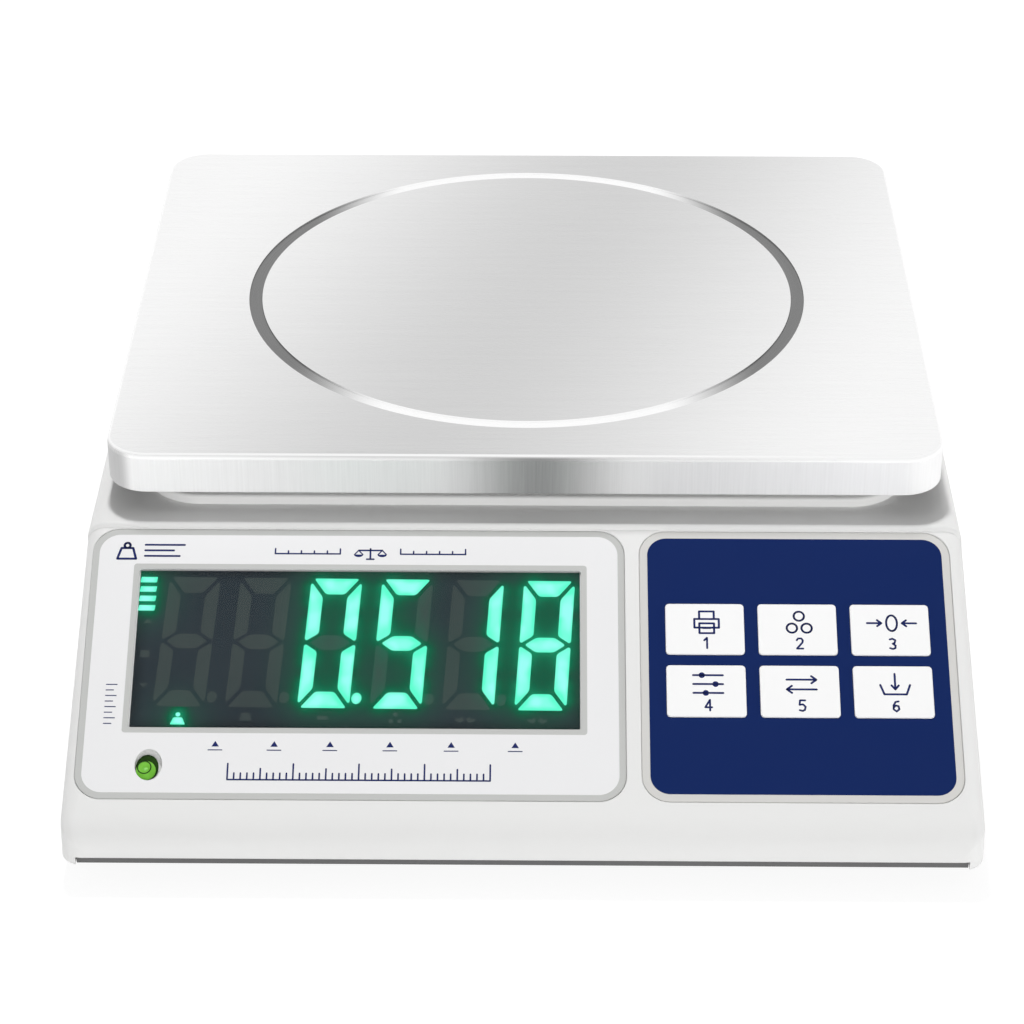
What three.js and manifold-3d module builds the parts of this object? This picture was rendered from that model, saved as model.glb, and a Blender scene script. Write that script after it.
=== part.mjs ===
// A bench weighing scale with a print key: a stainless weighing pan on a load cell, in a moulded housing
// whose sloping front carries a six-digit LED display, a keypad with six keys and a round level. Four screw
// feet level it.
// Millimetres, +Z up. The origin is on the floor under the middle of the housing, and the front faces -Y.
import * as THREE from "three";
import { mergeVertices } from "three/addons/utils/BufferGeometryUtils.js";
import Module from "manifold-3d";

// Housing
const bodyWidth = 294; // at the floor
const bodyDepth = 346;
const bodyHeight = 69; // underside to deck
const floorGap = 8; // floor to underside
const sideDraft = 1.5; // how far each side leans in from underside to deck
const wall = 3;
const cornerRadius = 7;
const edgeRadius = 6;
const frontRadius = 16;
const panelTilt = THREE.MathUtils.degToRad(29);
const panelRun = 99; // from the deck's crease to the front face, measured level
const creaseRadius = 10;
const plateauRise = 1.2;
const plateauMargin = 1.5; // how far the plateau reaches past the pan's tray

// Clearances and overlaps
const fitGap = 0.3; // between pieces that seat on or in each other
const past = 1; // how far a cutter reaches past a face, and a joined body into its neighbour

// Sides of round bodies, and steps around a rounded corner
const hexagonSides = 6;
const pinSides = 8;
const smallSides = 12;
const mediumSides = 16;
const largeSides = 24;
const coarseCorner = 2;
const fineCorner = 6;

// Base plate, under the housing
const baseThickness = 2.5;
const notchHeight = 3.6;
const notchMargin = 5; // white corner left at each end of the front notch
const tongueRecess = 1.2;

// Weighing pan and the tray that carries it
const panWidth = 280;
const panDepth = 237;
const panCorner = 14;
const panSkirt = 14;
const panSheet = 1;
const panBend = 1.8;
const panRise = 22; // deck to pan top
const panRearGap = 5; // pan's rear edge to the housing's rear face
const ringDiameter = 200.8;
const ringWidth = 4.7;
const ringDepth = 0.4;
const trayWidth = 248;
const trayDepth = 221;
const trayCorner = 15;
const trayBend = 3;
const trayWall = 2.2;
const trayClearance = 0.8; // tray's lower edge to the plateau
const cushionHeight = 2.7;
const cushionDiameter = 14;
const cushionStem = 5;
const cushionSpreadX = 95;
const cushionSpreadY = 80;

// Load cell, its block and the spider
const cellLength = 130;
const cellWidth = 30;
const cellHeight = 22;
const cellEnd = 30; // length of each clamped end
const cellBore = 16;
const cellBoreSpread = 24;
const cellSlot = 6;
const blockHeight = 26;
const boltDiameter = 6;
const boltSpread = 14;
const boltHead = 10;
const boltHeadHeight = 2.2;
const boltSocket = 5;
const boltSocketDepth = 1.3;
const boltGrip = 14; // how deep each bolt reaches into the cell
const spiderThickness = 6;
const armWidth = 16;
const pillarClearance = 4;
const overloadGap = 0.5;

// Steel frame
const frameSheet = 2;
const railWidth = 24;
const crossWidth = 40;
const frameFlange = 8;

// Screw feet
const footInsetX = 44;
const footInsetY = 28;
const soleDiameter = 24;
const soleHeight = 3;
const wheelDiameter = 21;
const wheelHeight = 4;
const spigotDiameter = 8;
const spigotDepth = 1.5;
const studDiameter = 8;
const studPlay = 0.6;
const studReach = 2; // stud past the top of its nut
const stopDiameter = 8;
const nutDiameter = 15;
const nutHeight = 6.5;

// Sloping panel: the label plate with the window at the left and the keypad at the right
const labelMargin = 4; // left side of the housing to the label plate
const plateGap = 4.8;
const plateTop = 4.1; // crease to the plates' upper edge, along the slope
const plateLength = 98.5;
const plateCorner = 9;
const plateRecess = 1;
const plateThickness = 0.5;
const keypadWidth = 102.8;
const keypadMargin = 6.2; // keypad plate to the right side of the housing
const windowWidth = 145.2;
const windowHeight = 57.5;
const windowShift = 0.8; // window's middle to the right of the label plate's
const windowTop = 19.5; // crease to the window's upper edge
const windowCorner = 1;
const windowLedge = 1.5;
const ledThickness = 10;
const boardThickness = 1.6;
const displayBoardInset = 8.5; // label plate's sides to the board behind it
const displayBoardRim = 5.5;
const supportDiameter = 6;

// Keys
const keyWidth = 25.7;
const keyHeight = 18.6;
const keyCorner = 1.5;
const keyEdge = 0.3;
const keyPitchX = 30.2;
const keyPitchY = 22.55;
const keyRowsCentre = 52.1; // crease to the middle of the two rows
const keyProud = 0.3;
const keyPlay = 0.35;
const keyFlange = 0.8;
const keyFlangeHeight = 0.8;
const keyStem = 0.8;
const keyStemDiameter = 5;
const keySwitchGap = 0.7;
const keySwitchSize = 6;
const keySwitchHeight = 4.3;
const keyBoardMarginX = 2.5;
const keyBoardMarginY = 9.9;

// Level
const sightHole = 8.8;
const levelFromLeft = 27;
const levelFromCrease = 90;
const vialDiameter = 11.4;
const vialHeight = 6.6;
const vialDepth = 5; // panel surface to the vial's top, at the hole's middle
const levelTube = 15.6;
const clipThickness = 2.3;
const clipWall = 1;

// Rear bay with its connectors
const bayWidth = 90;
const bayHeight = 30;
const bayDepth = 10;
const bayX = 60;
const bayZ = 39;
const bayWall = 2.5;
const baySpacing = 30;
const switchWidth = 24;
const switchHeight = 15;
const switchBezel = 1.8;
const switchDepth = 16;
const rockerRadius = 7.2;
const rockerHeight = 9;
const rockerCrown = 2.6; // rocker's ends past its pin, outwards
const rockerTilt = THREE.MathUtils.degToRad(10);
const rockerPin = 2;
const rockerPinReach = 0.5; // pin past the rocker's sides
const rockerPlay = 0.9;
const portFlangeWidth = 30.8;
const portFlangeHeight = 12.4;
const portFlange = 1;
const portWidth = 17.5;
const portHeight = 8.8;
const portNose = 4.8;
const portLean = 1.2; // how far each end of the port leans in from its top to its bottom
const portPinGap = 2; // port's inner wall to the block that holds its contacts
const portPinDepth = 1; // port's edge to that block's front
const portWall = 0.6;
const portScrewSpread = 25;
const portScrewSize = 5;
const portInner = 8; // how far the port reaches in behind its bay
const jackFlange = 12;
const jackFlangeHeight = 1.2;
const jackNose = 9;
const jackBore = 6;
const jackPin = 2;
const jackLength = 14;
const jackBoreDepth = 10;

// Battery with its box and strap
const batteryLength = 101;
const batteryWidth = 70;
const batteryHeight = 47;
const batteryFromRail = 2; // left rail to the battery's pocket
const batteryFromRear = 24; // pocket to the housing's rear face
const batteryEdge = 2;
const batteryPlay = 1;
const batteryBoxWall = 2;
const batteryBoxHeight = 18;
const strapWidth = 18;
const strapSheet = 1.5;
const terminalSize = 6.3;
const terminalSheet = 0.8;

// Main board and vents
const boardWidth = 62;
const boardDepth = 60;
const boardX = 30;
const boardFromFrame = 29.5; // board to the frame's crosspiece
const boardLift = 8;
const ventCount = 7;
const ventPitch = 7;
const ventWidth = 2.5;
const ventLength = 36;
const chipLength = 18;
const chipWidth = 9;
const chipHeight = 2.5;
const chipPitch = 45;
const socketLength = 12;
const socketWidth = 6;
const socketHeight = 7;
const capacitorDiameter = 8;
const capacitorHeight = 9;
const capacitorPitch = 9.5;

// Leads inside the housing
const leadDiameter = 3;
const leadSteps = 24;
const leadSides = 3; // steps to each quarter of a lead's round section
const leadGap = 0.5;
const leadRise = 12; // how far a lead stands over its socket before it turns
const leadBesideCell = 6; // load cell's front to the middle of the lead beside it
const leadUnderCell = 12; // load cell's underside to the middle of the lead that crosses under it

// Housing screws
const screwHead = 6;
const screwHeadHeight = 2;
const screwShank = 3;
const screwLength = 14;
const screwBoss = 8;
const screwWeb = 2;
const screwInset = 6.5; // side face to the screw's axis
const screwFromFront = 73;
const screwFromRear = 35;

const deckZ = floorGap + bodyHeight;
const frontY = -bodyDepth / 2;
const rearY = bodyDepth / 2;
const creaseY = frontY + panelRun;
const frontCentreZ =
  deckZ - (panelRun - frontRadius) * Math.tan(panelTilt) - frontRadius / Math.cos(panelTilt);
const plateauZ = deckZ + plateauRise;
const baseTop = floorGap + baseThickness;
const frameTop = baseTop + frameSheet;
const cellBottom = frameTop + blockHeight;
const cellTop = cellBottom + cellHeight;
const panTop = deckZ + panRise;
const panUnder = panTop - panSheet;
const trayTop = panUnder - cushionHeight;
const trayBottom = plateauZ + trayClearance;
const spiderTop = trayTop - trayWall;
const spiderBottom = spiderTop - spiderThickness;
const spiderBoltSeat = spiderTop - boltHeadHeight - fitGap;
const panY = rearY - panRearGap - panDepth / 2;
const pillarX = (cellLength - cellEnd) / 2;

const white = finish(0xe9e9ea, 0.38, 0);
const darkGrey = finish(0x4a4b4d, 0.6, 0);
const steel = finish(0xc9cbcd, 0.32, 1);
const aluminium = finish(0xb4b7ba, 0.45, 1);
const zinc = finish(0x9a9c9f, 0.4, 1);
const labelWhite = finish(0xececec, 0.5, 0);
const keypadBlue = finish(0x1b2b5c, 0.45, 0);
const keyWhite = finish(0xfdfdfd, 0.5, 0);
const windowTint = finish(0x20282c, 0.12, 0);
const ledBlack = finish(0x2b3338, 0.5, 0);
const boardGreen = finish(0x1d5a38, 0.55, 0);
const black = finish(0x1c1c1e, 0.55, 0);
const rubber = finish(0x2a2a2b, 0.85, 0);
const levelGreen = finish(0x63b52c, 0.25, 0);
const batteryGrey = finish(0x35373b, 0.6, 0);
const cableGrey = finish(0x8d9094, 0.6, 0);

function finish(color, roughness, metalness) {
  return new THREE.MeshStandardMaterial({ color, roughness, metalness });
}

const wasm = await Module();
wasm.setup();

// A closed geometry as a solid for joining and cutting.
function solid(geometry) {
  const bare = geometry.index ? geometry.toNonIndexed() : geometry.clone();
  bare.deleteAttribute("normal");
  bare.deleteAttribute("uv");
  const merged = mergeVertices(bare, 1e-4);
  return new wasm.Manifold(
    new wasm.Mesh({
      numProp: 3,
      vertProperties: merged.attributes.position.array,
      triVerts: new Uint32Array(merged.index.array),
    }),
  );
}

function join(first, ...others) {
  return others.reduce((sum, next) => sum.add(next), first);
}

function cut(first, ...others) {
  return others.reduce((rest, next) => rest.subtract(next), first);
}

// A solid as a geometry that three.js can draw.
function geometryOf(made) {
  const mesh = made.getMesh();
  const stride = mesh.numProp;
  const positions = new Float32Array(mesh.numVert * 3);
  for (let i = 0; i < mesh.numVert; i++)
    positions.set(mesh.vertProperties.subarray(i * stride, i * stride + 3), i * 3);
  return new THREE.BufferGeometry()
    .setAttribute("position", new THREE.BufferAttribute(positions, 3))
    .setIndex(new THREE.BufferAttribute(new Uint32Array(mesh.triVerts), 1));
}

// A box given by its lowest and highest corner.
function block(x0, x1, y0, y1, z0, z1) {
  const box = new THREE.BoxGeometry(x1 - x0, y1 - y0, z1 - z0);
  return box.translate((x0 + x1) / 2, (y0 + y1) / 2, (z0 + z1) / 2);
}

// An upright cylinder from z0 to z1.
function post(diameter, x, y, z0, z1, sides = mediumSides) {
  const column = new THREE.CylinderGeometry(diameter / 2, diameter / 2, z1 - z0, sides);
  return column.rotateX(Math.PI / 2).translate(x, y, (z0 + z1) / 2);
}

// A cylinder that lies along Y, from y0 to y1.
function rod(diameter, x, z, y0, y1, sides = mediumSides) {
  const column = new THREE.CylinderGeometry(diameter / 2, diameter / 2, y1 - y0, sides);
  return column.translate(x, (y0 + y1) / 2, z);
}

// The outline of a rectangle with rounded corners around the origin.
function roundedOutline(width, height, radius, steps) {
  const corners = [[1, -1, -0.5], [1, 1, 0], [-1, 1, 0.5], [-1, -1, 1]];
  return corners.flatMap(([sideX, sideY, start]) =>
    Array.from({ length: steps + 1 }, (_, k) => {
      const angle = Math.PI * (start + k / (2 * steps));
      const x = sideX * (width / 2 - radius) + radius * Math.cos(angle);
      return new THREE.Vector2(x, sideY * (height / 2 - radius) + radius * Math.sin(angle));
    }),
  );
}

// A plate with rounded corners from z0 to z1.
function plate(width, height, radius, x, y, z0, z1, steps = fineCorner) {
  const shape = new THREE.Shape(roundedOutline(width, height, radius, steps));
  const made = new THREE.ExtrudeGeometry(shape, { depth: z1 - z0, bevelEnabled: false });
  return made.translate(x, y, z0);
}

const scale = new THREE.Group();
scale.name = "weighing_scale";

// The sloping panel's own frame: x to the right, y up the slope from the crease, z out of the surface.
const panel = new THREE.Group();
panel.position.set(0, creaseY, deckZ);
panel.rotation.x = panelTilt;
panel.updateMatrix();
scale.add(panel);

function piece(name, made, material, parent = scale) {
  const geometry = made.isBufferGeometry ? made : geometryOf(made);
  geometry.computeVertexNormals();
  const mesh = new THREE.Mesh(geometry, material);
  mesh.name = name;
  parent.add(mesh);
  return mesh;
}

function onPanel(geometry) {
  return geometry.applyMatrix4(panel.matrix);
}

// Height of the housing's roof over y: level on the deck, sloping on the panel and rounded down into the
// front face. inset moves it inwards.
function roofZ(y, inset) {
  const bend = creaseRadius - inset;
  const tangent = bend * Math.tan(panelTilt / 2);
  const ahead = creaseY + inset * Math.tan(panelTilt / 2) - y;
  const level = deckZ - inset;
  if (ahead <= -tangent) return level;
  if (ahead < tangent * Math.cos(panelTilt))
    return level - bend + Math.sqrt(bend ** 2 - (ahead + tangent) ** 2);
  const frontBend = frontRadius - inset;
  const fromCentre = frontY + frontRadius - y;
  if (fromCentre < frontBend * Math.sin(panelTilt)) return level - ahead * Math.tan(panelTilt);
  return frontCentreZ + Math.sqrt(Math.max(0, frontBend ** 2 - fromCentre ** 2));
}

// Distance from a point to the plan's edge, and how squarely that edge faces the front.
function edgeOf(x, y, inset) {
  const halfX = bodyWidth / 2 - inset;
  const halfY = bodyDepth / 2 - inset;
  const radius = cornerRadius - inset;
  const overX = Math.abs(x) - (halfX - radius);
  const overY = Math.abs(y) - (halfY - radius);
  if (overX > 0 && overY > 0) {
    const reach = Math.hypot(overX, overY);
    return { distance: radius - reach, facing: y < 0 ? (overY / reach) ** 2 : 0 };
  }
  const toSide = halfX - Math.abs(x);
  const toEnd = halfY - Math.abs(y);
  return { distance: Math.min(toSide, toEnd), facing: toEnd < toSide && y < 0 ? 1 : 0 };
}

// Height of the housing's surface over the plan: the roof, rounded over along the sides and the rear.
function skinZ(x, y, inset) {
  const { distance, facing } = edgeOf(x, y, inset);
  const radius = (edgeRadius - inset) * (1 - facing);
  const short = Math.min(radius, Math.max(0, radius - distance));
  return roofZ(y, inset) - (radius - Math.sqrt(radius ** 2 - short ** 2));
}

// A filled form of the housing: a grid over the plan, with sides down to bottomZ that lean in towards the
// deck.
function housingForm(inset, bottomZ, steps) {
  const halfX = bodyWidth / 2 - inset;
  const halfY = bodyDepth / 2 - inset;
  const radius = cornerRadius - inset;
  const count = (from, turn) => Array.from({ length: turn + 1 }, (_, k) => from(k / turn));
  const rounded = (reach, turn = Math.PI / 2) => count((part) => reach * (1 - Math.cos(turn * part)), steps);
  const front = rounded(frontRadius - inset, Math.PI / 2 - panelTilt).map((away) => away - halfY);
  const rear = rounded(radius).map((away) => halfY - away);
  const bendRadius = creaseRadius - inset;
  const bendEnd = creaseY + (inset + bendRadius) * Math.tan(panelTilt / 2);
  const bend = count((part) => bendEnd - bendRadius * Math.sin(panelTilt * (1 - part)), 4);
  const rows = [...front, ...bend, ...rear.reverse()];
  const offsets = [...rounded(edgeRadius - inset), 2 * edgeRadius];
  const columns = [...offsets.map((away) => [-1, away]), ...offsets.map((away) => [1, away]).reverse()];
  const halfAt = (y) => {
    const over = Math.abs(y) - (halfY - radius);
    return over <= 0 ? halfX : halfX - radius + Math.sqrt(Math.max(0, radius ** 2 - over ** 2));
  };
  const points = [];
  for (const y of rows)
    for (const [sign, offset] of columns) {
      const x = sign * (halfAt(y) - offset);
      points.push([x, y, skinZ(x, y, inset)]);
    }
  const across = columns.length;
  const faces = [];
  const quad = (a, b, c, d) => faces.push([a, b, c], [a, c, d]);
  for (let j = 0; j + 1 < rows.length; j++)
    for (let i = 0; i + 1 < across; i++) {
      const at = j * across + i;
      quad(at, at + 1, at + across + 1, at + across);
    }
  const last = (rows.length - 1) * across;
  const loop = [];
  for (let i = 0; i < across; i++) loop.push(i);
  for (let j = 1; j < rows.length; j++) loop.push(j * across + across - 1);
  for (let i = across - 2; i >= 0; i--) loop.push(last + i);
  for (let j = rows.length - 2; j > 0; j--) loop.push(j * across);
  const foot = points.length;
  for (const at of loop) points.push([points[at][0], points[at][1], bottomZ]);
  const centre = points.length;
  points.push([0, 0, bottomZ]);
  loop.forEach((at, k) => {
    const next = (k + 1) % loop.length;
    quad(loop[next], at, foot + k, foot + next);
    faces.push([centre, foot + next, foot + k]);
  });
  const lean = sideDraft / (bodyWidth / 2) / bodyHeight;
  const drafted = points.map(([x, y, z]) => [x * (1 - lean * (z - floorGap)), y, z]);
  const form = new THREE.BufferGeometry();
  form.setAttribute("position", new THREE.Float32BufferAttribute(drafted.flat(), 3));
  form.setIndex(faces.flat());
  return form;
}

// Places on the sloping panel
const labelWidth = bodyWidth - labelMargin - plateGap - keypadWidth - keypadMargin;
const labelX = labelMargin + labelWidth / 2 - bodyWidth / 2;
const keypadX = bodyWidth / 2 - keypadMargin - keypadWidth / 2;
const windowX = labelX + windowShift;
const plateY = -plateTop - plateLength / 2;
const windowY = -windowTop - windowHeight / 2;
const plateBottom = fitGap - plateRecess;
const plateFace = plateBottom + plateThickness;
const levelX = levelFromLeft - bodyWidth / 2;
const levelY = creaseY - levelFromCrease * Math.cos(panelTilt);
const levelZ = deckZ - levelFromCrease * Math.sin(panelTilt);
const vialTop = levelZ - vialDepth;
const vialBottom = vialTop - vialHeight;
const keyNames = ["print_key", "count_key", "zero_key", "function_key", "unit_key", "tare_key"];
const keys = keyNames.map((name, i) => ({
  name,
  x: keypadX + ((i % 3) - 1) * keyPitchX,
  y: -keyRowsCentre + (i < 3 ? 0.5 : -0.5) * keyPitchY,
}));
const displayBoardWidth = labelWidth - 2 * displayBoardInset;
const displayBoardHeight = windowHeight + 2 * displayBoardRim;
const ledFront = -plateRecess - fitGap;
const ledBack = ledFront - ledThickness;
const displayBoardTop = ledBack - fitGap;
const keyStop = -wall - fitGap;
const keyBottom = keyStop - keyFlangeHeight - keyStem;
const keyBoardTop = keyBottom - keySwitchGap - keySwitchHeight;
const keyBoardWidth = 2 * keyPitchX + keyWidth + 2 * keyBoardMarginX;
const keyBoardHeight = keyPitchY + keyHeight + 2 * keyBoardMarginY;

const railX = bodyWidth / 2 - footInsetX;
const pocketMargin = batteryPlay + batteryBoxWall;
const batteryX = railWidth / 2 + batteryFromRail + pocketMargin + batteryLength / 2 - railX;
const batteryY = rearY - batteryFromRear - pocketMargin - batteryWidth / 2;
const boardY = panY - crossWidth / 2 - boardFromFrame - boardDepth / 2;
const frontRow = frontY + screwFromFront;
const rearRow = rearY - screwFromRear;
const screwRows = [frontRow, (frontRow + rearRow) / 2, rearRow];
const screwTip = baseTop - screwHeadHeight + screwLength;
const screwX = bodyWidth / 2 - screwInset;
const screwPlaces = screwRows.flatMap((y) => [-1, 1].map((side) => [side * screwX, y]));
const footPlaces = ["front_left", "front_right", "rear_left", "rear_right"].map((name, i) => ({
  name,
  x: (i % 2 ? 1 : -1) * railX,
  y: (i < 2 ? -1 : 1) * (bodyDepth / 2 - footInsetY),
}));
const boltPlaces = (end) => [-1, 1].map((side) => end * pillarX + (side * boltSpread) / 2);
const cushionPlaces = [
  [-cushionSpreadX, panY - cushionSpreadY],
  [cushionSpreadX, panY - cushionSpreadY],
  [-cushionSpreadX, panY + cushionSpreadY],
  [cushionSpreadX, panY + cushionSpreadY],
];
const boardInset = supportDiameter / 2 + past;
const boardCorners = [-1, 1].flatMap((i) =>
  [-1, 1].map((j) => [
    boardX + i * (boardWidth / 2 - boardInset),
    boardY + j * (boardDepth / 2 - boardInset),
  ]),
);
const displaySocket = [boardX, boardY - boardDepth / 2 + socketWidth];
const cellSocket = [boardX - boardWidth / 4, boardY + boardDepth / 2 - socketWidth];
const powerSocket = [boardX + boardWidth / 4, boardY + boardDepth / 2 - socketWidth];
const bayFloor = rearY - bayDepth;
const bayBack = bayFloor - bayWall;
const rockerY = bayFloor + switchBezel - rockerCrown / 2;
const switchX = bayX - baySpacing;
const jackX = bayX + baySpacing;
const portScrewPlaces = [-1, 1].map((side) => bayX + (side * portScrewSpread) / 2);

// Small posts at the four corners of a board, on the panel's inside.
function boardSupports(x, y, width, height, bottom) {
  const dx = (width - supportDiameter) / 2;
  const dy = (height - supportDiameter) / 2;
  return [-1, 1].flatMap((i) =>
    [-1, 1].map((j) => {
      const support = post(supportDiameter, x + i * dx, y + j * dy, bottom, -wall / 2, pinSides);
      return solid(onPanel(support));
    }),
  );
}

function topHousing() {
  const outer = solid(housingForm(0, floorGap, 5));
  const inner = solid(housingForm(wall, floorGap - past, 3));
  const shell = cut(outer, inner);
  const bosses = screwPlaces.map(([x, y]) =>
    solid(post(screwBoss, x, y, baseTop + screwWeb, deckZ, smallSides)),
  );
  const tube = solid(post(levelTube, levelX, levelY, vialBottom, deckZ, largeSides));
  const bay = solid(
    block(
      bayX - bayWidth / 2 - bayWall,
      bayX + bayWidth / 2 + bayWall,
      bayBack,
      rearY - wall / 2,
      bayZ - bayHeight / 2 - bayWall,
      bayZ + bayHeight / 2 + bayWall,
    ),
  );
  const inside = join(
    tube,
    bay,
    ...bosses,
    ...boardSupports(labelX, windowY, displayBoardWidth, displayBoardHeight, ledBack),
    ...boardSupports(keypadX, -keyRowsCentre, keyBoardWidth, keyBoardHeight, keyBoardTop + fitGap),
  ).intersect(outer);
  const plateau = plate(
    trayWidth + 2 * plateauMargin,
    trayDepth + 2 * plateauMargin,
    trayCorner + plateauMargin,
    0,
    panY,
    deckZ - wall / 2,
    plateauZ,
  );
  const recess = (x, width) =>
    solid(onPanel(plate(width, plateLength, plateCorner, x, plateY, -plateRecess, frontRadius)));
  const opening = (x, y, width, height, radius) =>
    solid(onPanel(plate(width, height, radius, x, y, -2 * wall, frontRadius, coarseCorner)));
  return cut(
    join(shell, inside, solid(plateau)),
    recess(labelX, labelWidth),
    recess(keypadX, keypadWidth),
    opening(windowX, windowY, windowWidth - 2 * windowLedge, windowHeight - 2 * windowLedge, fitGap),
    ...keys.map((key) => opening(key.x, key.y, keyWidth + 2 * keyPlay, keyHeight + 2 * keyPlay, keyCorner)),
    solid(post(sightHole, levelX, levelY, vialTop - past, deckZ + frontRadius, largeSides)),
    solid(post(vialDiameter + 2 * fitGap, levelX, levelY, vialBottom - past, vialTop + fitGap, largeSides)),
    ...screwPlaces.map(([x, y]) =>
      solid(post(screwShank + 2 * fitGap, x, y, baseTop, screwTip + fitGap, pinSides)),
    ),
    solid(pillarOpening()),
    solid(frontNotch()),
    ...bayOpenings(),
  );
}

// The opening along the housing's front edge where the base plate shows.
function frontNotch() {
  const x = bodyWidth / 2 - notchMargin;
  return block(-x, x, frontY - past, frontY + wall + past, floorGap - past, floorGap + notchHeight);
}

function pillarOpening() {
  const size = cellEnd + 2 * pillarClearance;
  const depth = cellWidth + 2 * pillarClearance;
  return plate(size, depth, pillarClearance, pillarX, panY, deckZ - 2 * wall, plateauZ + past, coarseCorner);
}

// The rear bay and the holes in its floor for the switch, the serial port and the power jack.
function bayOpenings() {
  const bottom = bayZ - bayHeight / 2;
  const rim = 2 * (fitGap - switchBezel);
  const shell = 2 * (fitGap + portWall);
  const from = bayBack - past;
  const to = bayFloor + past;
  return [
    block(bayX - bayWidth / 2, bayX + bayWidth / 2, bayFloor, rearY + past, bottom, bottom + bayHeight),
    switchSlot(switchWidth + rim, switchHeight + rim, from, to),
    portBlock(portWidth + shell, portHeight + shell, from, to),
    ...portScrewPlaces.map((x) => rod(screwShank + 2 * fitGap, x, bayZ, from, to, smallSides)),
    rod(jackNose + 2 * fitGap, jackX, bayZ, from, to),
  ].map(solid);
}

function switchSlot(width, height, y0, y1) {
  return block(switchX - width / 2, switchX + width / 2, y0, y1, bayZ - height / 2, bayZ + height / 2);
}

// A D-shaped block along Y, wider at its top, for the serial port.
function portBlock(width, height, y0, y1) {
  const shape = new THREE.Shape();
  shape.moveTo(-width / 2 + portLean, -height / 2);
  shape.lineTo(width / 2 - portLean, -height / 2);
  shape.lineTo(width / 2, height / 2);
  shape.lineTo(-width / 2, height / 2);
  shape.closePath();
  const made = new THREE.ExtrudeGeometry(shape, { depth: y1 - y0, bevelEnabled: false });
  return made.rotateX(Math.PI / 2).translate(bayX, y1, bayZ);
}

function bottomHousing() {
  const width = bodyWidth - 2 * (wall + fitGap);
  const depth = bodyDepth - 2 * (wall + fitGap);
  const outline = (top) => solid(plate(width, depth, cornerRadius - wall, 0, 0, floorGap, top));
  const tongueX = bodyWidth / 2 - notchMargin - fitGap;
  const tongueTop = floorGap + notchHeight - fitGap;
  const tongueFront = frontY + tongueRecess;
  const tongue = solid(block(-tongueX, tongueX, tongueFront, frontY + 3 * wall, floorGap, tongueTop));
  const webTop = baseTop + screwWeb - fitGap;
  const webs = screwPlaces.map(([x, y]) => solid(post(screwBoss, x, y, floorGap, webTop, smallSides)));
  const boardPosts = boardCorners.map(([x, y]) =>
    solid(post(supportDiameter, x, y, floorGap, baseTop + boardLift - fitGap, pinSides)),
  );
  const hole = (diameter, x, y, z0, z1, sides) => solid(post(diameter, x, y, z0, z1, sides));
  const under = floorGap - past;
  const above = baseTop + past;
  const pocket = solid(batteryWall(batteryBoxWall));
  return cut(
    join(outline(baseTop), tongue, pocket, ...boardPosts, join(...webs).intersect(outline(webTop))),
    solid(batteryWall(0).translate(0, 0, baseThickness)),
    ...screwPlaces.flatMap(([x, y]) => [
      hole(screwHead + 2 * fitGap, x, y, under, baseTop, smallSides),
      hole(screwShank + 2 * fitGap, x, y, floorGap, webTop + past, pinSides),
    ]),
    ...footPlaces.map(({ x, y }) => hole(studDiameter + 2 * studPlay, x, y, under, above)),
    ...boltPlaces(-1).map((x) => hole(boltHead + 2 * studPlay, x, panY, under, above)),
    ...vents().map(solid),
  );
}

// The battery's pocket: a solid block grown by margin.
function batteryWall(margin) {
  const x = batteryLength / 2 + batteryPlay + margin;
  const y = batteryWidth / 2 + batteryPlay + margin;
  return block(batteryX - x, batteryX + x, batteryY - y, batteryY + y, floorGap, baseTop + batteryBoxHeight);
}

// Slots through the base plate, under the main board.
function vents() {
  return Array.from({ length: ventCount }, (_, i) => {
    const x = boardX + (i - (ventCount - 1) / 2) * ventPitch;
    return block(x - ventWidth / 2, x + ventWidth / 2, boardY - ventLength / 2, boardY + ventLength / 2,
      floorGap - past, baseTop + past);
  });
}

// Flat steel frame on the base plate: a rail over the feet on each side, and a crosspiece under the load
// cell.
function chassis() {
  const railY = bodyDepth / 2 - footInsetY + railWidth / 2;
  const crossX = railX - railWidth / 2;
  const rails = [-1, 1].flatMap((side) => {
    const middle = side * railX;
    const edge = side * (crossX + frameSheet / 2);
    return [
      block(middle - railWidth / 2, middle + railWidth / 2, -railY, railY, baseTop, frameTop),
      block(edge - frameSheet / 2, edge + frameSheet / 2, -railY, railY, baseTop, frameTop + frameFlange),
    ];
  });
  const edges = [-1, 1].map((side) => {
    const y = panY + side * (crossWidth / 2 - frameSheet / 2);
    return block(-crossX, crossX, y - frameSheet / 2, y + frameSheet / 2, baseTop, frameTop + frameFlange);
  });
  const cross = block(-railX, railX, panY - crossWidth / 2, panY + crossWidth / 2, baseTop, frameTop);
  const hole = (diameter, x, y) => solid(post(diameter, x, y, baseTop - past, frameTop + past));
  return cut(
    join(...[cross, ...rails, ...edges].map(solid)),
    ...footPlaces.map(({ x, y }) => hole(studDiameter + 2 * studPlay, x, y)),
    ...boltPlaces(-1).map((x) => hole(boltDiameter + 2 * fitGap, x, panY)),
  );
}

// A block over or under one end of the load cell: -1 for its left end, 1 for its right.
function endBlock(end, z0, z1) {
  const x = end * pillarX;
  return block(x - cellEnd / 2, x + cellEnd / 2, panY - cellWidth / 2, panY + cellWidth / 2, z0, z1);
}

// Holes for the two bolts at one end of the load cell.
function boltHoles(end, z0, z1) {
  return boltPlaces(end).map((x) => solid(post(boltDiameter + 2 * fitGap, x, panY, z0, z1)));
}

function loadCellBlock() {
  const body = solid(endBlock(-1, frameTop, cellBottom));
  return cut(body, ...boltHoles(-1, frameTop - past, cellBottom + past));
}

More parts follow.
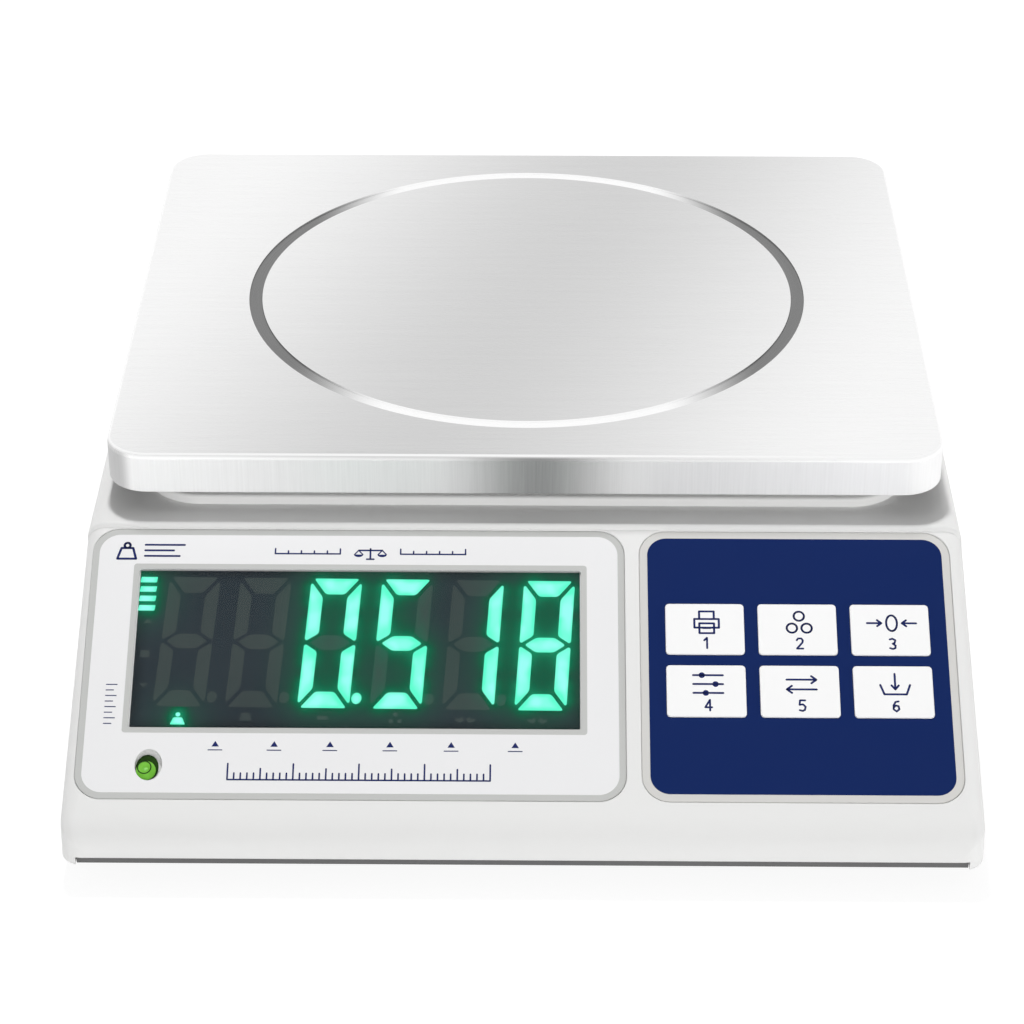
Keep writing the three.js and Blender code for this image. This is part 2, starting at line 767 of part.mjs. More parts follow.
// A bar clamped at its left end and loaded at its right, thinned over and under two joined bores.
function loadCell() {
  const middle = (cellBottom + cellTop) / 2;
  const front = panY - cellWidth / 2;
  const back = panY + cellWidth / 2;
  const half = cellBoreSpread / 2;
  const bores = [-1, 1].map((side) =>
    rod(cellBore, side * half, middle, front - past, back + past, largeSides),
  );
  const slot = block(-half, half, front - past, back + past, middle - cellSlot / 2, middle + cellSlot / 2);
  return cut(
    solid(block(-cellLength / 2, cellLength / 2, front, back, cellBottom, cellTop)),
    solid(slot),
    ...bores.map(solid),
    ...boltHoles(-1, cellBottom - past, cellBottom + boltGrip + past),
    ...boltHoles(1, cellTop - boltGrip - past, cellTop + past),
  );
}

// A hexagon-socket bolt along Z whose head bears at headZ and whose shank ends at tipZ.
function bolt(x, headZ, tipZ) {
  const up = Math.sign(headZ - tipZ);
  const crown = headZ + up * boltHeadHeight;
  const part = (diameter, from, to, sides) =>
    solid(post(diameter, x, panY, Math.min(from, to), Math.max(from, to), sides));
  const head = part(boltHead, headZ, crown, largeSides);
  const shank = part(boltDiameter, tipZ, headZ + up * past, mediumSides);
  const socket = part(boltSocket, crown - up * boltSocketDepth, crown + up * past, hexagonSides);
  return cut(join(head, shank), socket);
}

// An H of cast arms over the cell's loaded end, with a pillar down through the deck onto the cell.
function spider() {
  const half = armWidth / 2;
  const arms = [-1, 1].map((side) => {
    const x = side * cushionSpreadX;
    const reach = cushionSpreadY + half;
    return block(x - half, x + half, panY - reach, panY + reach, spiderBottom, spiderTop);
  });
  const [front, back] = [panY - cellWidth / 2, panY + cellWidth / 2];
  const beam = block(-cushionSpreadX, cushionSpreadX, front, back, spiderBottom, spiderTop);
  const above = spiderTop + past;
  const headHole = (x) => post(boltHead + 2 * fitGap, x, panY, spiderBoltSeat, above, largeSides);
  return cut(
    join(...[endBlock(1, cellTop, spiderTop), beam, ...arms].map(solid)),
    ...boltHoles(1, cellTop - past, above),
    ...boltPlaces(1).map((x) => solid(headHole(x))),
    ...stemHoles(spiderBottom - past, above),
  );
}

// Holes for the stems of the four cushions.
function stemHoles(z0, z1) {
  return cushionPlaces.map(([x, y]) => solid(post(cushionStem + 2 * fitGap, x, y, z0, z1, smallSides)));
}

// A closed skin through level outlines of one rounded rectangle. Each level has how far it is drawn in and
// its height. The first level is closed by a flat top and the last by a flat face underneath.
function skin(width, depth, radius, levels, steps) {
  const points = levels.flatMap(([inset, z]) => {
    const corner = Math.max(radius - inset, 0.2);
    return roundedOutline(width - 2 * inset, depth - 2 * inset, corner, steps).map(({ x, y }) => [x, y, z]);
  });
  const around = points.length / levels.length;
  const last = points.length - around;
  const top = points.length;
  points.push([0, 0, levels[0][1]], [0, 0, levels[levels.length - 1][1]]);
  const faces = [];
  for (let i = 0; i < around; i++) {
    const next = (i + 1) % around;
    faces.push([top, i, next], [top + 1, last + next, last + i]);
    for (let ring = 0; ring < last; ring += around) {
      const under = ring + around;
      faces.push([ring + i, under + i, under + next], [ring + i, under + next, ring + next]);
    }
  }
  const made = new THREE.BufferGeometry();
  made.setAttribute("position", new THREE.Float32BufferAttribute(points.flat(), 3));
  made.setIndex(faces.flat());
  return made;
}

// Levels of an open tray turned upside down: over a rounded upper edge, down the wall and back up inside it.
function shellLevels(topZ, bottomZ, bend, sheet, steps) {
  const arc = Array.from({ length: steps + 1 }, (_, k) => (k / steps) * (Math.PI / 2));
  const over = (inset, z, radius) =>
    arc.map((a) => [inset + radius * (1 - Math.sin(a)), z - radius * (1 - Math.cos(a))]);
  const inside = over(sheet, topZ - sheet, bend - sheet);
  return [...over(0, topZ, bend), [0, bottomZ], [sheet, bottomZ], ...inside.reverse()];
}

function weighingPan() {
  const levels = shellLevels(panTop, panTop - panSkirt, panBend, panSheet, 3);
  const pan = skin(panWidth, panDepth, panCorner, levels, fineCorner).translate(0, panY, 0);
  const outer = ringDiameter / 2;
  const inner = outer - ringWidth;
  const profile = [
    [inner, panTop + past],
    [inner, panTop],
    [inner + ringDepth, panTop - ringDepth],
    [outer - ringDepth, panTop - ringDepth],
    [outer, panTop],
    [outer, panTop + past],
    [inner, panTop + past],
  ].map(([r, z]) => new THREE.Vector2(r, z));
  const groove = new THREE.LatheGeometry(profile, 2 * largeSides).rotateX(Math.PI / 2).translate(0, panY, 0);
  return cut(solid(pan), outward(groove));
}

// A solid from a closed geometry that may be inside out.
function outward(geometry) {
  const made = solid(geometry);
  if (made.volume() > 0) return made;
  const flipped = geometry.index ? geometry.toNonIndexed() : geometry.clone();
  const positions = flipped.attributes.position;
  for (let i = 0; i < positions.count; i += 3) {
    const second = new THREE.Vector3().fromBufferAttribute(positions, i + 1);
    const third = new THREE.Vector3().fromBufferAttribute(positions, i + 2);
    positions.setXYZ(i + 1, third.x, third.y, third.z);
    positions.setXYZ(i + 2, second.x, second.y, second.z);
  }
  return solid(flipped);
}

function panTray() {
  const levels = shellLevels(trayTop, trayBottom, trayBend, trayWall, 2);
  const tray = skin(trayWidth, trayDepth, trayCorner, levels, fineCorner).translate(0, panY, 0);
  return cut(solid(tray), ...stemHoles(trayTop - 2 * trayWall, trayTop + past));
}

function cushion([x, y]) {
  const pad = post(cushionDiameter, x, y, trayTop, panUnder, largeSides);
  const stem = post(cushionStem, x, y, spiderBottom + past, trayTop + past, smallSides);
  return join(solid(pad), solid(stem));
}

// A printed plate in its recess on the sloping panel, with one opening for the window or one for each key.
function facePlate(x, width, openings) {
  const length = plateLength - 2 * fitGap;
  const made = plate(width - 2 * fitGap, length, plateCorner, x, plateY, plateBottom, plateFace);
  return cut(solid(made), ...openings);
}

// A cutter through a plate on the panel.
function plateOpening(x, y, width, height, corner) {
  return solid(plate(width, height, corner, x, y, -wall, wall, coarseCorner));
}

function labelPlate() {
  const window = plateOpening(
    windowX,
    windowY,
    windowWidth + 2 * fitGap,
    windowHeight + 2 * fitGap,
    windowCorner,
  );
  const tube = post(sightHole, levelX, levelY, vialTop, deckZ, largeSides);
  return facePlate(labelX, labelWidth, [window, solid(tube.applyMatrix4(panel.matrix.clone().invert()))]);
}

function keypadPlate() {
  const openings = keys.map(({ x, y }) =>
    plateOpening(x, y, keyWidth + 2 * keyPlay, keyHeight + 2 * keyPlay, keyCorner),
  );
  return facePlate(keypadX, keypadWidth, openings);
}

function displayWindow() {
  return plate(
    windowWidth,
    windowHeight,
    windowCorner,
    windowX,
    windowY,
    plateBottom,
    plateFace,
    coarseCorner,
  );
}

function ledDisplay() {
  const margin = windowLedge + keyPlay;
  const x = windowWidth / 2 - margin;
  const y = windowHeight / 2 - margin;
  return block(windowX - x, windowX + x, windowY - y, windowY + y, ledBack, ledFront);
}

// A circuit board on the inside of the sloping panel, with its parts standing on it.
function panelBoard(x, y, width, height, top, parts) {
  const bottom = top - boardThickness;
  const board = block(x - width / 2, x + width / 2, y - height / 2, y + height / 2, bottom, top);
  return join(solid(board), ...parts.map(solid));
}

function displayBoard() {
  const below = displayBoardTop - boardThickness;
  const chips = [-1, 0, 1].map((i) => {
    const x = windowX + i * chipPitch;
    return block(x - chipLength / 2, x + chipLength / 2, windowY - chipWidth / 2, windowY + chipWidth / 2,
      below - chipHeight, below + boardThickness / 2);
  });
  return panelBoard(labelX, windowY, displayBoardWidth, displayBoardHeight, displayBoardTop, chips);
}

function keyBoard() {
  const half = keySwitchSize / 2;
  const switches = keys.flatMap(({ x, y }) => [
    block(x - half, x + half, y - half, y + half, keyBoardTop - boardThickness / 2,
      keyBoardTop + keySwitchHeight / 2),
    post(keySwitchSize / 2, x, y, keyBoardTop, keyBoardTop + keySwitchHeight, smallSides),
  ]);
  return panelBoard(keypadX, -keyRowsCentre, keyBoardWidth, keyBoardHeight, keyBoardTop, switches);
}

// A key cap around its own middle: a rounded cap, a flange that stops it under the housing, and a stem.
function keyCap() {
  const levels = [
    [keyEdge, keyProud],
    [0, keyProud - keyEdge],
    [0, keyStop],
    [-keyFlange, keyStop],
    [-keyFlange, keyStop - keyFlangeHeight],
  ];
  const cap = skin(keyWidth, keyHeight, keyCorner, levels, coarseCorner);
  const stem = post(keyStemDiameter, 0, 0, keyBottom, keyStop - keyFlangeHeight / 2, smallSides);
  return join(solid(cap), solid(stem));
}

function mainBoard() {
  const z = baseTop + boardLift;
  const x0 = boardX - boardWidth / 2;
  const y0 = boardY - boardDepth / 2;
  const board = block(x0, x0 + boardWidth, y0, y0 + boardDepth, z, z + boardThickness);
  const onBoard = (x, y, width, depth, height) =>
    block(x - width / 2, x + width / 2, y - depth / 2, y + depth / 2, z + boardThickness / 2,
      z + boardThickness + height);
  const chips = [
    onBoard(boardX - boardWidth / 6, boardY, chipLength, chipLength, chipHeight),
    onBoard(boardX + boardWidth / 4, boardY - boardDepth / 5, chipLength, chipWidth, chipHeight),
  ];
  const sockets = [displaySocket, cellSocket, powerSocket].map(([x, y]) =>
    onBoard(x, y, socketLength, socketWidth, socketHeight),
  );
  const capacitors = [1, 2].map((place) =>
    post(capacitorDiameter, boardX + place * capacitorPitch, boardY + boardDepth / 4, z + boardThickness / 2,
      z + boardThickness + capacitorHeight, smallSides),
  );
  return join(...[board, ...chips, ...sockets, ...capacitors].map(solid));
}

function battery() {
  const levels = [
    [batteryEdge, baseTop + batteryHeight],
    [0, baseTop + batteryHeight - batteryEdge],
    [0, baseTop],
  ];
  const corner = 2 * batteryEdge;
  const body = skin(batteryLength, batteryWidth, corner, levels, coarseCorner);
  body.translate(batteryX, batteryY, 0);
  const terminals = [-1, 1].map((side) => {
    const y = batteryY + side * (batteryWidth / 2 - 2 * terminalSize);
    const x = batteryX + batteryLength / 2 - terminalSize;
    return block(x - terminalSheet / 2, x + terminalSheet / 2, y - terminalSize / 2, y + terminalSize / 2,
      baseTop + batteryHeight - past, baseTop + batteryHeight + terminalSize);
  });
  return join(solid(body), ...terminals.map(solid));
}

// A steel strap over the battery whose legs stand on the pocket's walls.
function batteryStrap() {
  const half = batteryWidth / 2 + batteryPlay;
  const top = baseTop + batteryHeight + fitGap;
  const foot = baseTop + batteryBoxHeight;
  const x0 = batteryX - strapWidth / 2;
  const x1 = batteryX + strapWidth / 2;
  const reach = half + strapSheet;
  const bar = block(x0, x1, batteryY - reach, batteryY + reach, top, top + strapSheet);
  const legs = [-1, 1].map((side) => {
    const inner = batteryY + side * half;
    const outer = inner + side * strapSheet;
    return block(x0, x1, Math.min(inner, outer), Math.max(inner, outer), foot, top + strapSheet);
  });
  return join(...[bar, ...legs].map(solid));
}

function levelVial() {
  return post(vialDiameter, levelX, levelY, vialBottom, vialTop, largeSides);
}

// A cap under the vial, on the lower end of its tube.
function levelClip() {
  const top = vialBottom - fitGap;
  return post(levelTube + 2 * clipWall, levelX, levelY, top - clipThickness, top, largeSides);
}

// Rear connectors: each has a flange on the bay's floor and a body that passes inwards through it.
function switchHousing() {
  const bezel = switchSlot(switchWidth, switchHeight, bayFloor, bayFloor + switchBezel);
  const innerHeight = switchHeight - 2 * switchBezel;
  const innerWidth = switchWidth - 2 * switchBezel;
  const body = switchSlot(innerWidth, innerHeight, bayBack - switchDepth / 2, bayFloor + past);
  const swing = rockerRadius + rockerPlay;
  const mouth = bayFloor + switchBezel + past;
  const well = switchSlot(2 * swing, rockerHeight + 2 * fitGap, rockerY - swing, mouth);
  const pinEnd = rockerHeight / 2 + rockerPinReach + fitGap;
  const pin = post(rockerPin + 2 * fitGap, switchX, rockerY, bayZ - pinEnd, bayZ + pinEnd, smallSides);
  return cut(join(solid(bezel), solid(body)), solid(well), solid(pin));
}

// The rocker around its pin: round at the back, hollowed to a shallow V in front, and tipped to one side at
// rest.
function rocker() {
  const shape = new THREE.Shape();
  shape.absarc(0, 0, rockerRadius, Math.PI, 2 * Math.PI);
  shape.lineTo(rockerRadius, rockerCrown);
  shape.lineTo(0, rockerCrown - rockerRadius * Math.tan(rockerTilt));
  shape.lineTo(-rockerRadius, rockerCrown);
  shape.closePath();
  const options = { depth: rockerHeight, bevelEnabled: false, curveSegments: smallSides };
  const body = new THREE.ExtrudeGeometry(shape, options).translate(0, 0, -rockerHeight / 2);
  const pinEnd = rockerHeight / 2 + rockerPinReach;
  const pin = post(rockerPin, 0, 0, -pinEnd, pinEnd, smallSides);
  return join(solid(body), solid(pin));
}

function serialPort() {
  const reach = portFlangeWidth / 2;
  const flange = block(bayX - reach, bayX + reach, bayFloor, bayFloor + portFlange,
    bayZ - portFlangeHeight / 2, bayZ + portFlangeHeight / 2);
  const edge = bayFloor + portNose;
  const nose = portBlock(portWidth + 2 * portWall, portHeight + 2 * portWall, bayBack - portInner, edge);
  const mouth = portBlock(portWidth, portHeight, bayFloor + portFlange, edge + past);
  const nuts = portScrewPlaces.map((x) => rod(portScrewSize, x, bayZ, bayFloor, edge, hexagonSides));
  const shanks = portScrewPlaces.map((x) =>
    rod(screwShank, x, bayZ, bayBack - portInner / 2, bayFloor + portFlange / 2, smallSides),
  );
  const contacts = portBlock(
    portWidth - 2 * portPinGap,
    portHeight - 2 * portPinGap,
    bayFloor + portFlange / 2,
    edge - portPinDepth,
  );
  return join(cut(join(...[flange, nose, ...nuts, ...shanks].map(solid)), solid(mouth)), solid(contacts));
}

function powerJack() {
  const edge = bayFloor + jackFlangeHeight;
  const flange = rod(jackFlange, jackX, bayZ, bayFloor, edge, largeSides);
  const neck = bayFloor + jackFlangeHeight / 2;
  const body = rod(jackNose, jackX, bayZ, bayFloor - jackLength, neck, largeSides);
  const bore = rod(jackBore, jackX, bayZ, bayFloor - jackBoreDepth, edge + past, largeSides);
  const pin = rod(jackPin, jackX, bayZ, bayFloor - jackBoreDepth - past, bayFloor, smallSides);
  return join(cut(join(solid(flange), solid(body)), solid(bore)), solid(pin));
}

// A round lead along a smooth path through points.
function lead(points) {
  const path = new THREE.CatmullRomCurve3(points.map((point) => new THREE.Vector3(...point)));
  const section = new THREE.Shape();
  section.absarc(0, 0, leadDiameter / 2, 0, 2 * Math.PI);
  const options = { steps: leadSteps, extrudePath: path, curveSegments: leadSides, bevelEnabled: false };
  return outward(new THREE.ExtrudeGeometry(section, options));
}

// Levelling feet: a rubber sole, and a screw whose wheel turns on it.
function footSole() {
  const disc = post(soleDiameter, 0, 0, 0, soleHeight, largeSides);
  const cup = post(spigotDiameter + 2 * fitGap, 0, 0, soleHeight - spigotDepth - fitGap, soleHeight + past);
  return cut(solid(disc), solid(cup));
}

function footScrew() {
  const wheelTop = soleHeight + wheelHeight;
  const studTop = frameTop + nutHeight + studReach;
  const wheel = post(wheelDiameter, 0, 0, soleHeight, wheelTop, largeSides);
  const spigot = post(spigotDiameter, 0, 0, soleHeight - spigotDepth, soleHeight + past);
  const stud = post(studDiameter, 0, 0, wheelTop - past, studTop, smallSides);
  return join(solid(wheel), solid(spigot), solid(stud));
}

function footNut() {
  const top = frameTop + nutHeight;
  const hexagon = post(nutDiameter, 0, 0, frameTop, top, hexagonSides);
  return cut(solid(hexagon), solid(post(studDiameter + 2 * fitGap, 0, 0, frameTop - past, top + past)));
}

function overloadStop() {
  const column = post(stopDiameter, pillarX, panY, frameTop, cellBottom - overloadGap);
  const nut = post(nutDiameter, pillarX, panY, frameTop, frameTop + nutHeight, hexagonSides);
  return join(solid(column), solid(nut));
}

function housingScrew([x, y]) {
  const head = post(screwHead, x, y, baseTop - screwHeadHeight, baseTop, smallSides);
  const shank = post(screwShank, x, y, baseTop - screwHeadHeight / 2, screwTip, pinSides);
  return join(solid(head), solid(shank));
}

// Where a lead leaves the back of one of the panel's boards, and its next point straight out from there.
function behindBoard(x, fromCrease, boardTop) {
  const back = boardTop - boardThickness - leadGap;
  return [0, leadRise / 2].map((out) =>
    new THREE.Vector3(x, -fromCrease, back - out).applyMatrix4(panel.matrix).toArray(),
  );
}

// The last points of a lead that comes down into a socket of the main board, from the front (-1) or the
// rear (1).
function intoSocket([x, y], from) {
  const top = baseTop + boardLift + boardThickness + socketHeight + leadGap;
  return [[x, y + (from * leadRise) / 2, top + leadRise], [x, y, top + leadRise / 2], [x, y, top]];
}

// Leads inside the housing, each from a board, the load cell or a rear connector to another board
const displayLeadX = windowX + 1.5 * chipPitch;
const keypadSide = behindBoard(keypadX - keyPitchX, keyRowsCentre, keyBoardTop);
const displaySide = behindBoard(windowX + windowWidth / 2, keyRowsCentre, displayBoardTop);
const besideCellY = panY - cellWidth / 2 - leadBesideCell;
const underCellZ = cellBottom - leadUnderCell;
const leads = {
  display_lead: [
    ...behindBoard(displayLeadX, windowTop + windowHeight / 2, displayBoardTop),
    ...intoSocket(displaySocket, -1),
  ],
  keypad_lead: [...keypadSide, ...displaySide.reverse()],
  load_cell_lead: [
    [-cellLength / 2 - leadGap, panY, cellTop - cellHeight / 3],
    [-cellLength / 2 - leadRise / 2, panY, cellTop - cellHeight / 3],
    [-cellLength / 2, besideCellY, cellBottom],
    [-pillarX, besideCellY, cellBottom],
    ...intoSocket(cellSocket, 1),
  ],
  power_lead: [
    [jackX, bayFloor - jackLength - leadGap, bayZ],
    [jackX, bayFloor - jackLength - leadRise, bayZ],
    [jackX, panY + cellWidth, underCellZ],
    [jackX - leadRise, panY - cellWidth / 2, underCellZ],
    ...intoSocket(powerSocket, 1),
  ],
};

// Housing
piece("top_housing", topHousing(), white);
piece("bottom_housing", bottomHousing(), darkGrey);
screwPlaces.forEach((place, i) => piece(`housing_screw_${i + 1}`, housingScrew(place), zinc));

// Weighing side
piece("chassis", chassis(), zinc);
piece("load_cell_block", loadCellBlock(), aluminium);
piece("load_cell", loadCell(), aluminium);
piece("overload_stop", overloadStop(), steel);
piece("pan_spider", spider(), aluminium);
piece("pan_tray", panTray(), white);
piece("weighing_pan", weighingPan(), steel);
boltPlaces(-1).forEach((x, i) => piece(`cell_bolt_${i + 1}`, bolt(x, baseTop, cellBottom + boltGrip), zinc));
boltPlaces(1).forEach((x, i) =>
  piece(`spider_bolt_${i + 1}`, bolt(x, spiderBoltSeat, cellTop - boltGrip), zinc),
);
cushionPlaces.forEach((place, i) => piece(`pan_cushion_${i + 1}`, cushion(place), rubber));

// Sloping panel
piece("display_label", labelPlate(), labelWhite, panel);
piece("display_window", displayWindow(), windowTint, panel);
piece("led_display", ledDisplay(), ledBlack, panel);
piece("display_board", displayBoard(), boardGreen, panel);
piece("keypad_label", keypadPlate(), keypadBlue, panel);
piece("keypad_board", keyBoard(), boardGreen, panel);
for (const { name, x, y } of keys) piece(name, keyCap(), keyWhite, panel).position.set(x, y, 0);
piece("level_vial", levelVial(), levelGreen);
piece("level_clip", levelClip(), black);

// Power and data
piece("battery", battery(), batteryGrey);
piece("battery_strap", batteryStrap(), zinc);
piece("main_board", mainBoard(), boardGreen);
for (const [name, points] of Object.entries(leads)) piece(name, lead(points), cableGrey);
piece("switch_housing", switchHousing(), black);
const powerRocker = piece("power_rocker", rocker(), black);
powerRocker.position.set(switchX, rockerY, bayZ);
powerRocker.rotation.z = rockerTilt;
piece("serial_port", serialPort(), steel);
piece("power_jack", powerJack(), black);

// Feet
for (const { name, x, y } of footPlaces) {
  piece(`foot_sole_${name}`, footSole(), rubber).position.set(x, y, 0);
  piece(`foot_screw_${name}`, footScrew(), black).position.set(x, y, 0);
  piece(`foot_nut_${name}`, footNut(), zinc).position.set(x, y, 0);
}

export default scale;
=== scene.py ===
import math

import bpy
import bmesh
from mathutils import Matrix, Vector
from mathutils.kdtree import KDTree


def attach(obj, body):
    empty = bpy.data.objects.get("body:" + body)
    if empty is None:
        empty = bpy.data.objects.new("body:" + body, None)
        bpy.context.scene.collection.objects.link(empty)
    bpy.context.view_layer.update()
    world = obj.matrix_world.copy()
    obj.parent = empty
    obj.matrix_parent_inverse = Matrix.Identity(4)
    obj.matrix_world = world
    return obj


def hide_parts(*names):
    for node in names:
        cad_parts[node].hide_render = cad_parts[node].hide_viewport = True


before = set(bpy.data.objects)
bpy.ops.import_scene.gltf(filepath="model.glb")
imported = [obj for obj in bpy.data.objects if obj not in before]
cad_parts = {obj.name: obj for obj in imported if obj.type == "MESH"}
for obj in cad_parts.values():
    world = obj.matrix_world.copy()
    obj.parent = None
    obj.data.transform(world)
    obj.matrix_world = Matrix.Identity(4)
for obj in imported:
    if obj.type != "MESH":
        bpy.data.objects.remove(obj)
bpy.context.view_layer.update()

MM = 0.001

# Housing
BODY_WIDTH = 294  # at the floor
BODY_DEPTH = 346
BODY_HEIGHT = 69
FLOOR_GAP = 8
SIDE_DRAFT = 1.5
WALL = 3
CORNER_RADIUS = 7
EDGE_RADIUS = 6
FRONT_RADIUS = 16
PANEL_TILT = math.radians(29)
PANEL_RUN = 99
CREASE_RADIUS = 4  # of the inside
BROW_RUN = 3.4  # the deck's rolled front edge, forward of the crease, down to the sloping panel
BROW_ROLL = 10  # higher keeps the deck level for longer
PLATEAU_RISE = 1.2
PLATEAU_MARGIN = 1.5
PLATEAU_ROUNDING = 0.8
RIM_MARGIN = 1.3  # tray to the raised rim around it
RIM_WIDTH = 2.6
RIM_RISE = 3.3  # over the deck
RIM_ROUNDING = 1.2
NOTCH_HEIGHT = 2.8
NOTCH_MARGIN = 5
FIT_GAP = 0.3
SEAM = 0.12  # around the plates on the panel and the keys
PLATE_SEAT_ROUNDING = 0.45
BAY_ROUNDING = 1.2

# Weighing pan and its tray
PAN_WIDTH = 280
PAN_DEPTH = 237
PAN_CORNER = 14
PAN_SKIRT = 15
PAN_SHEET = 1
PAN_BEND = 2.4
PAN_RISE = 22
PAN_REAR_GAP = 5
RING_DIAMETER = 200.8
RING_WIDTH = 4.7
RING_DEPTH = 0.4
GROOVE_EDGE = ((0, 0), (0.3, 0.15), (1, 1.8), (1.4, 2))  # inwards and down, in halves of the ring's depth
TRAY_WIDTH = 248
TRAY_DEPTH = 221
TRAY_CORNER = 15
TRAY_BEND = 3
TRAY_WALL = 2.2
TRAY_CLEARANCE = 0.65
CUSHION_HEIGHT = 2.7
CUSHION_STEM = 5
CUSHION_SPREAD = (95, 80)
PILLAR_X = 50
PILLAR_OPENING = (38, 38)
PILLAR_CORNER = 4

# Sloping panel
LABEL_MARGIN = 4
PLATE_GAP = 4.8
PLATE_TOP = 4.1
PLATE_LENGTH = 98.5
PLATE_CORNER = 9
PLATE_RECESS = 1
PLATE_THICKNESS = 0.5
PLATE_RIM = 0.12
KEYPAD_WIDTH = 102.8
KEYPAD_MARGIN = 6.2
WINDOW_WIDTH = 145.2
WINDOW_HEIGHT = 57.5
WINDOW_SHIFT = 0.8
WINDOW_TOP = 19.5
WINDOW_CORNER = 1
WINDOW_LEDGE = 1.5
LABEL_BORDER = 2.2  # printed grey band along the plate's edge
KEYPAD_BORDER = 2.6
WINDOW_BORDER = 1.9
BORDER_SINK = 0.08
BRINK_FOOT = 0.9988  # size of the sunk band's outer edge at its foot, over that at the plate's face
FIELD_FOOT = 1.002  # the same for its inner edge

# Keys
KEY_WIDTH = 25.7
KEY_HEIGHT = 18.6
KEY_CORNER = 1.3
KEY_PITCH_X = 30.2
KEY_PITCH_Y = 22.55
KEY_ROWS_CENTRE = 52.1
KEY_PROUD = 0.3
KEY_PLAY = 0.35
KEY_FLANGE = 0.8
KEY_ROUNDING = 0.35
KEY_STEM = 5

# Level
SIGHT_HOLE = 8.8
HOLE_OVAL = 1.25  # the sight hole's length up the slope over its width
SIGHT_DEPTH = 2.2
LEVEL_FROM_LEFT = 27.5
LEVEL_FROM_CREASE = 90.5
VIAL_DIAMETER = 11.4
VIAL_HEIGHT = 6.6
VIAL_DEPTH = 5
LEVEL_TUBE = 15.6
BUBBLE_RING = 4.3
BUBBLE_LINE = 0.34

# Rear bay
BAY_WIDTH = 90
BAY_HEIGHT = 30
BAY_DEPTH = 10
BAY_X = 60
BAY_Z = 39
BAY_WALL = 2.5
BAY_CORNER = 1.5
BAY_SPACING = 30
SWITCH_HOLE = (21, 12)
PORT_HOLE = (19.4, 10.6)
JACK_HOLE = 9.6

DECK_Z = FLOOR_GAP + BODY_HEIGHT
FRONT_Y = -BODY_DEPTH / 2
REAR_Y = BODY_DEPTH / 2
CREASE_Y = FRONT_Y + PANEL_RUN
PLATEAU_Z = DECK_Z + PLATEAU_RISE
PAN_TOP = DECK_Z + PAN_RISE
PAN_Y = REAR_Y - PAN_REAR_GAP - PAN_DEPTH / 2
TRAY_BOTTOM = PLATEAU_Z + TRAY_CLEARANCE
TRAY_TOP = PAN_TOP - PAN_SHEET - CUSHION_HEIGHT
SLOPE_RUN = PANEL_RUN - FRONT_RADIUS
FRONT_CENTRE_Z = DECK_Z - SLOPE_RUN * math.tan(PANEL_TILT) - FRONT_RADIUS / math.cos(PANEL_TILT)
LABEL_WIDTH = BODY_WIDTH - LABEL_MARGIN - PLATE_GAP - KEYPAD_WIDTH - KEYPAD_MARGIN
LABEL_X = LABEL_MARGIN + LABEL_WIDTH / 2 - BODY_WIDTH / 2
KEYPAD_X = BODY_WIDTH / 2 - KEYPAD_MARGIN - KEYPAD_WIDTH / 2
PLATE_Y = -PLATE_TOP - PLATE_LENGTH / 2
PLATE_BOTTOM = FIT_GAP - PLATE_RECESS
PLATE_FACE = PLATE_BOTTOM + PLATE_THICKNESS
WINDOW_X = LABEL_X + WINDOW_SHIFT
WINDOW_Y = -WINDOW_TOP - WINDOW_HEIGHT / 2
LEVEL_X = LEVEL_FROM_LEFT - BODY_WIDTH / 2
LEVEL_Y = CREASE_Y - LEVEL_FROM_CREASE * math.cos(PANEL_TILT)
LEVEL_Z = DECK_Z - LEVEL_FROM_CREASE * math.sin(PANEL_TILT)
VIAL_TOP = LEVEL_Z - VIAL_DEPTH
VIAL_BOTTOM = VIAL_TOP - VIAL_HEIGHT
KEY_PLACES = [
    (KEYPAD_X + column * KEY_PITCH_X, -KEY_ROWS_CENTRE + row * KEY_PITCH_Y)
    for row in (0.5, -0.5)
    for column in (-1, 0, 1)
]
BAY_FLOOR = REAR_Y - BAY_DEPTH


# Places
def upright(x, y, z):
    return (x, y, z)


def over_pan(x, y, z):
    return (x, PAN_Y + y, z)


def on_panel(x, y, z):
    """The sloping panel's own frame: x to the right, y up the slope from the crease, z out of it."""
    cos, sin = math.cos(PANEL_TILT), math.sin(PANEL_TILT)
    return (x, CREASE_Y + y * cos - z * sin, DECK_Z + y * sin + z * cos)


def facing_rear(x, y, z):
    """The rear bay's own frame: x to the left, y up, z out of its floor towards the rear."""
    return (BAY_X - x, BAY_FLOOR + z, BAY_Z + y)


def shifted(place, dx, dy, dz=0):
    return lambda x, y, z: place(x + dx, y + dy, z + dz)


# Outlines
def rounded_outline(width, height, radius, steps):
    radius = min(radius, width / 2 - 0.001, height / 2 - 0.001)
    outline = []
    for sx, sy, start in ((1, 1, 0), (-1, 1, 90), (-1, -1, 180), (1, -1, 270)):
        cx, cy = sx * (width / 2 - radius), sy * (height / 2 - radius)
        for k in range(steps + 1):
            angle = math.radians(start + 90 * k / steps)
            outline.append((cx + radius * math.cos(angle), cy + radius * math.sin(angle)))
    return outline


def circle(diameter, steps=64, dx=0, dy=0):
    turns = [2 * math.pi * k / steps for k in range(steps)]
    return [(dx + diameter / 2 * math.cos(a), dy + diameter / 2 * math.sin(a)) for a in turns]


def oval(width, length, dx=0, dy=0, steps=56):
    return [(dx + x * width / 2, dy + y * length / 2) for x, y in circle(2, steps)]


def moved(outline, dx, dy):
    return [(x + dx, y + dy) for x, y in outline]


def scaled(outline, share):
    return [(x * share, y * share) for x, y in outline]


def raised(outline, z):
    return [(x, y, z) for x, y in outline]


def middle_of(outline):
    return Vector((sum(p[0] for p in outline), sum(p[1] for p in outline))) / len(outline)


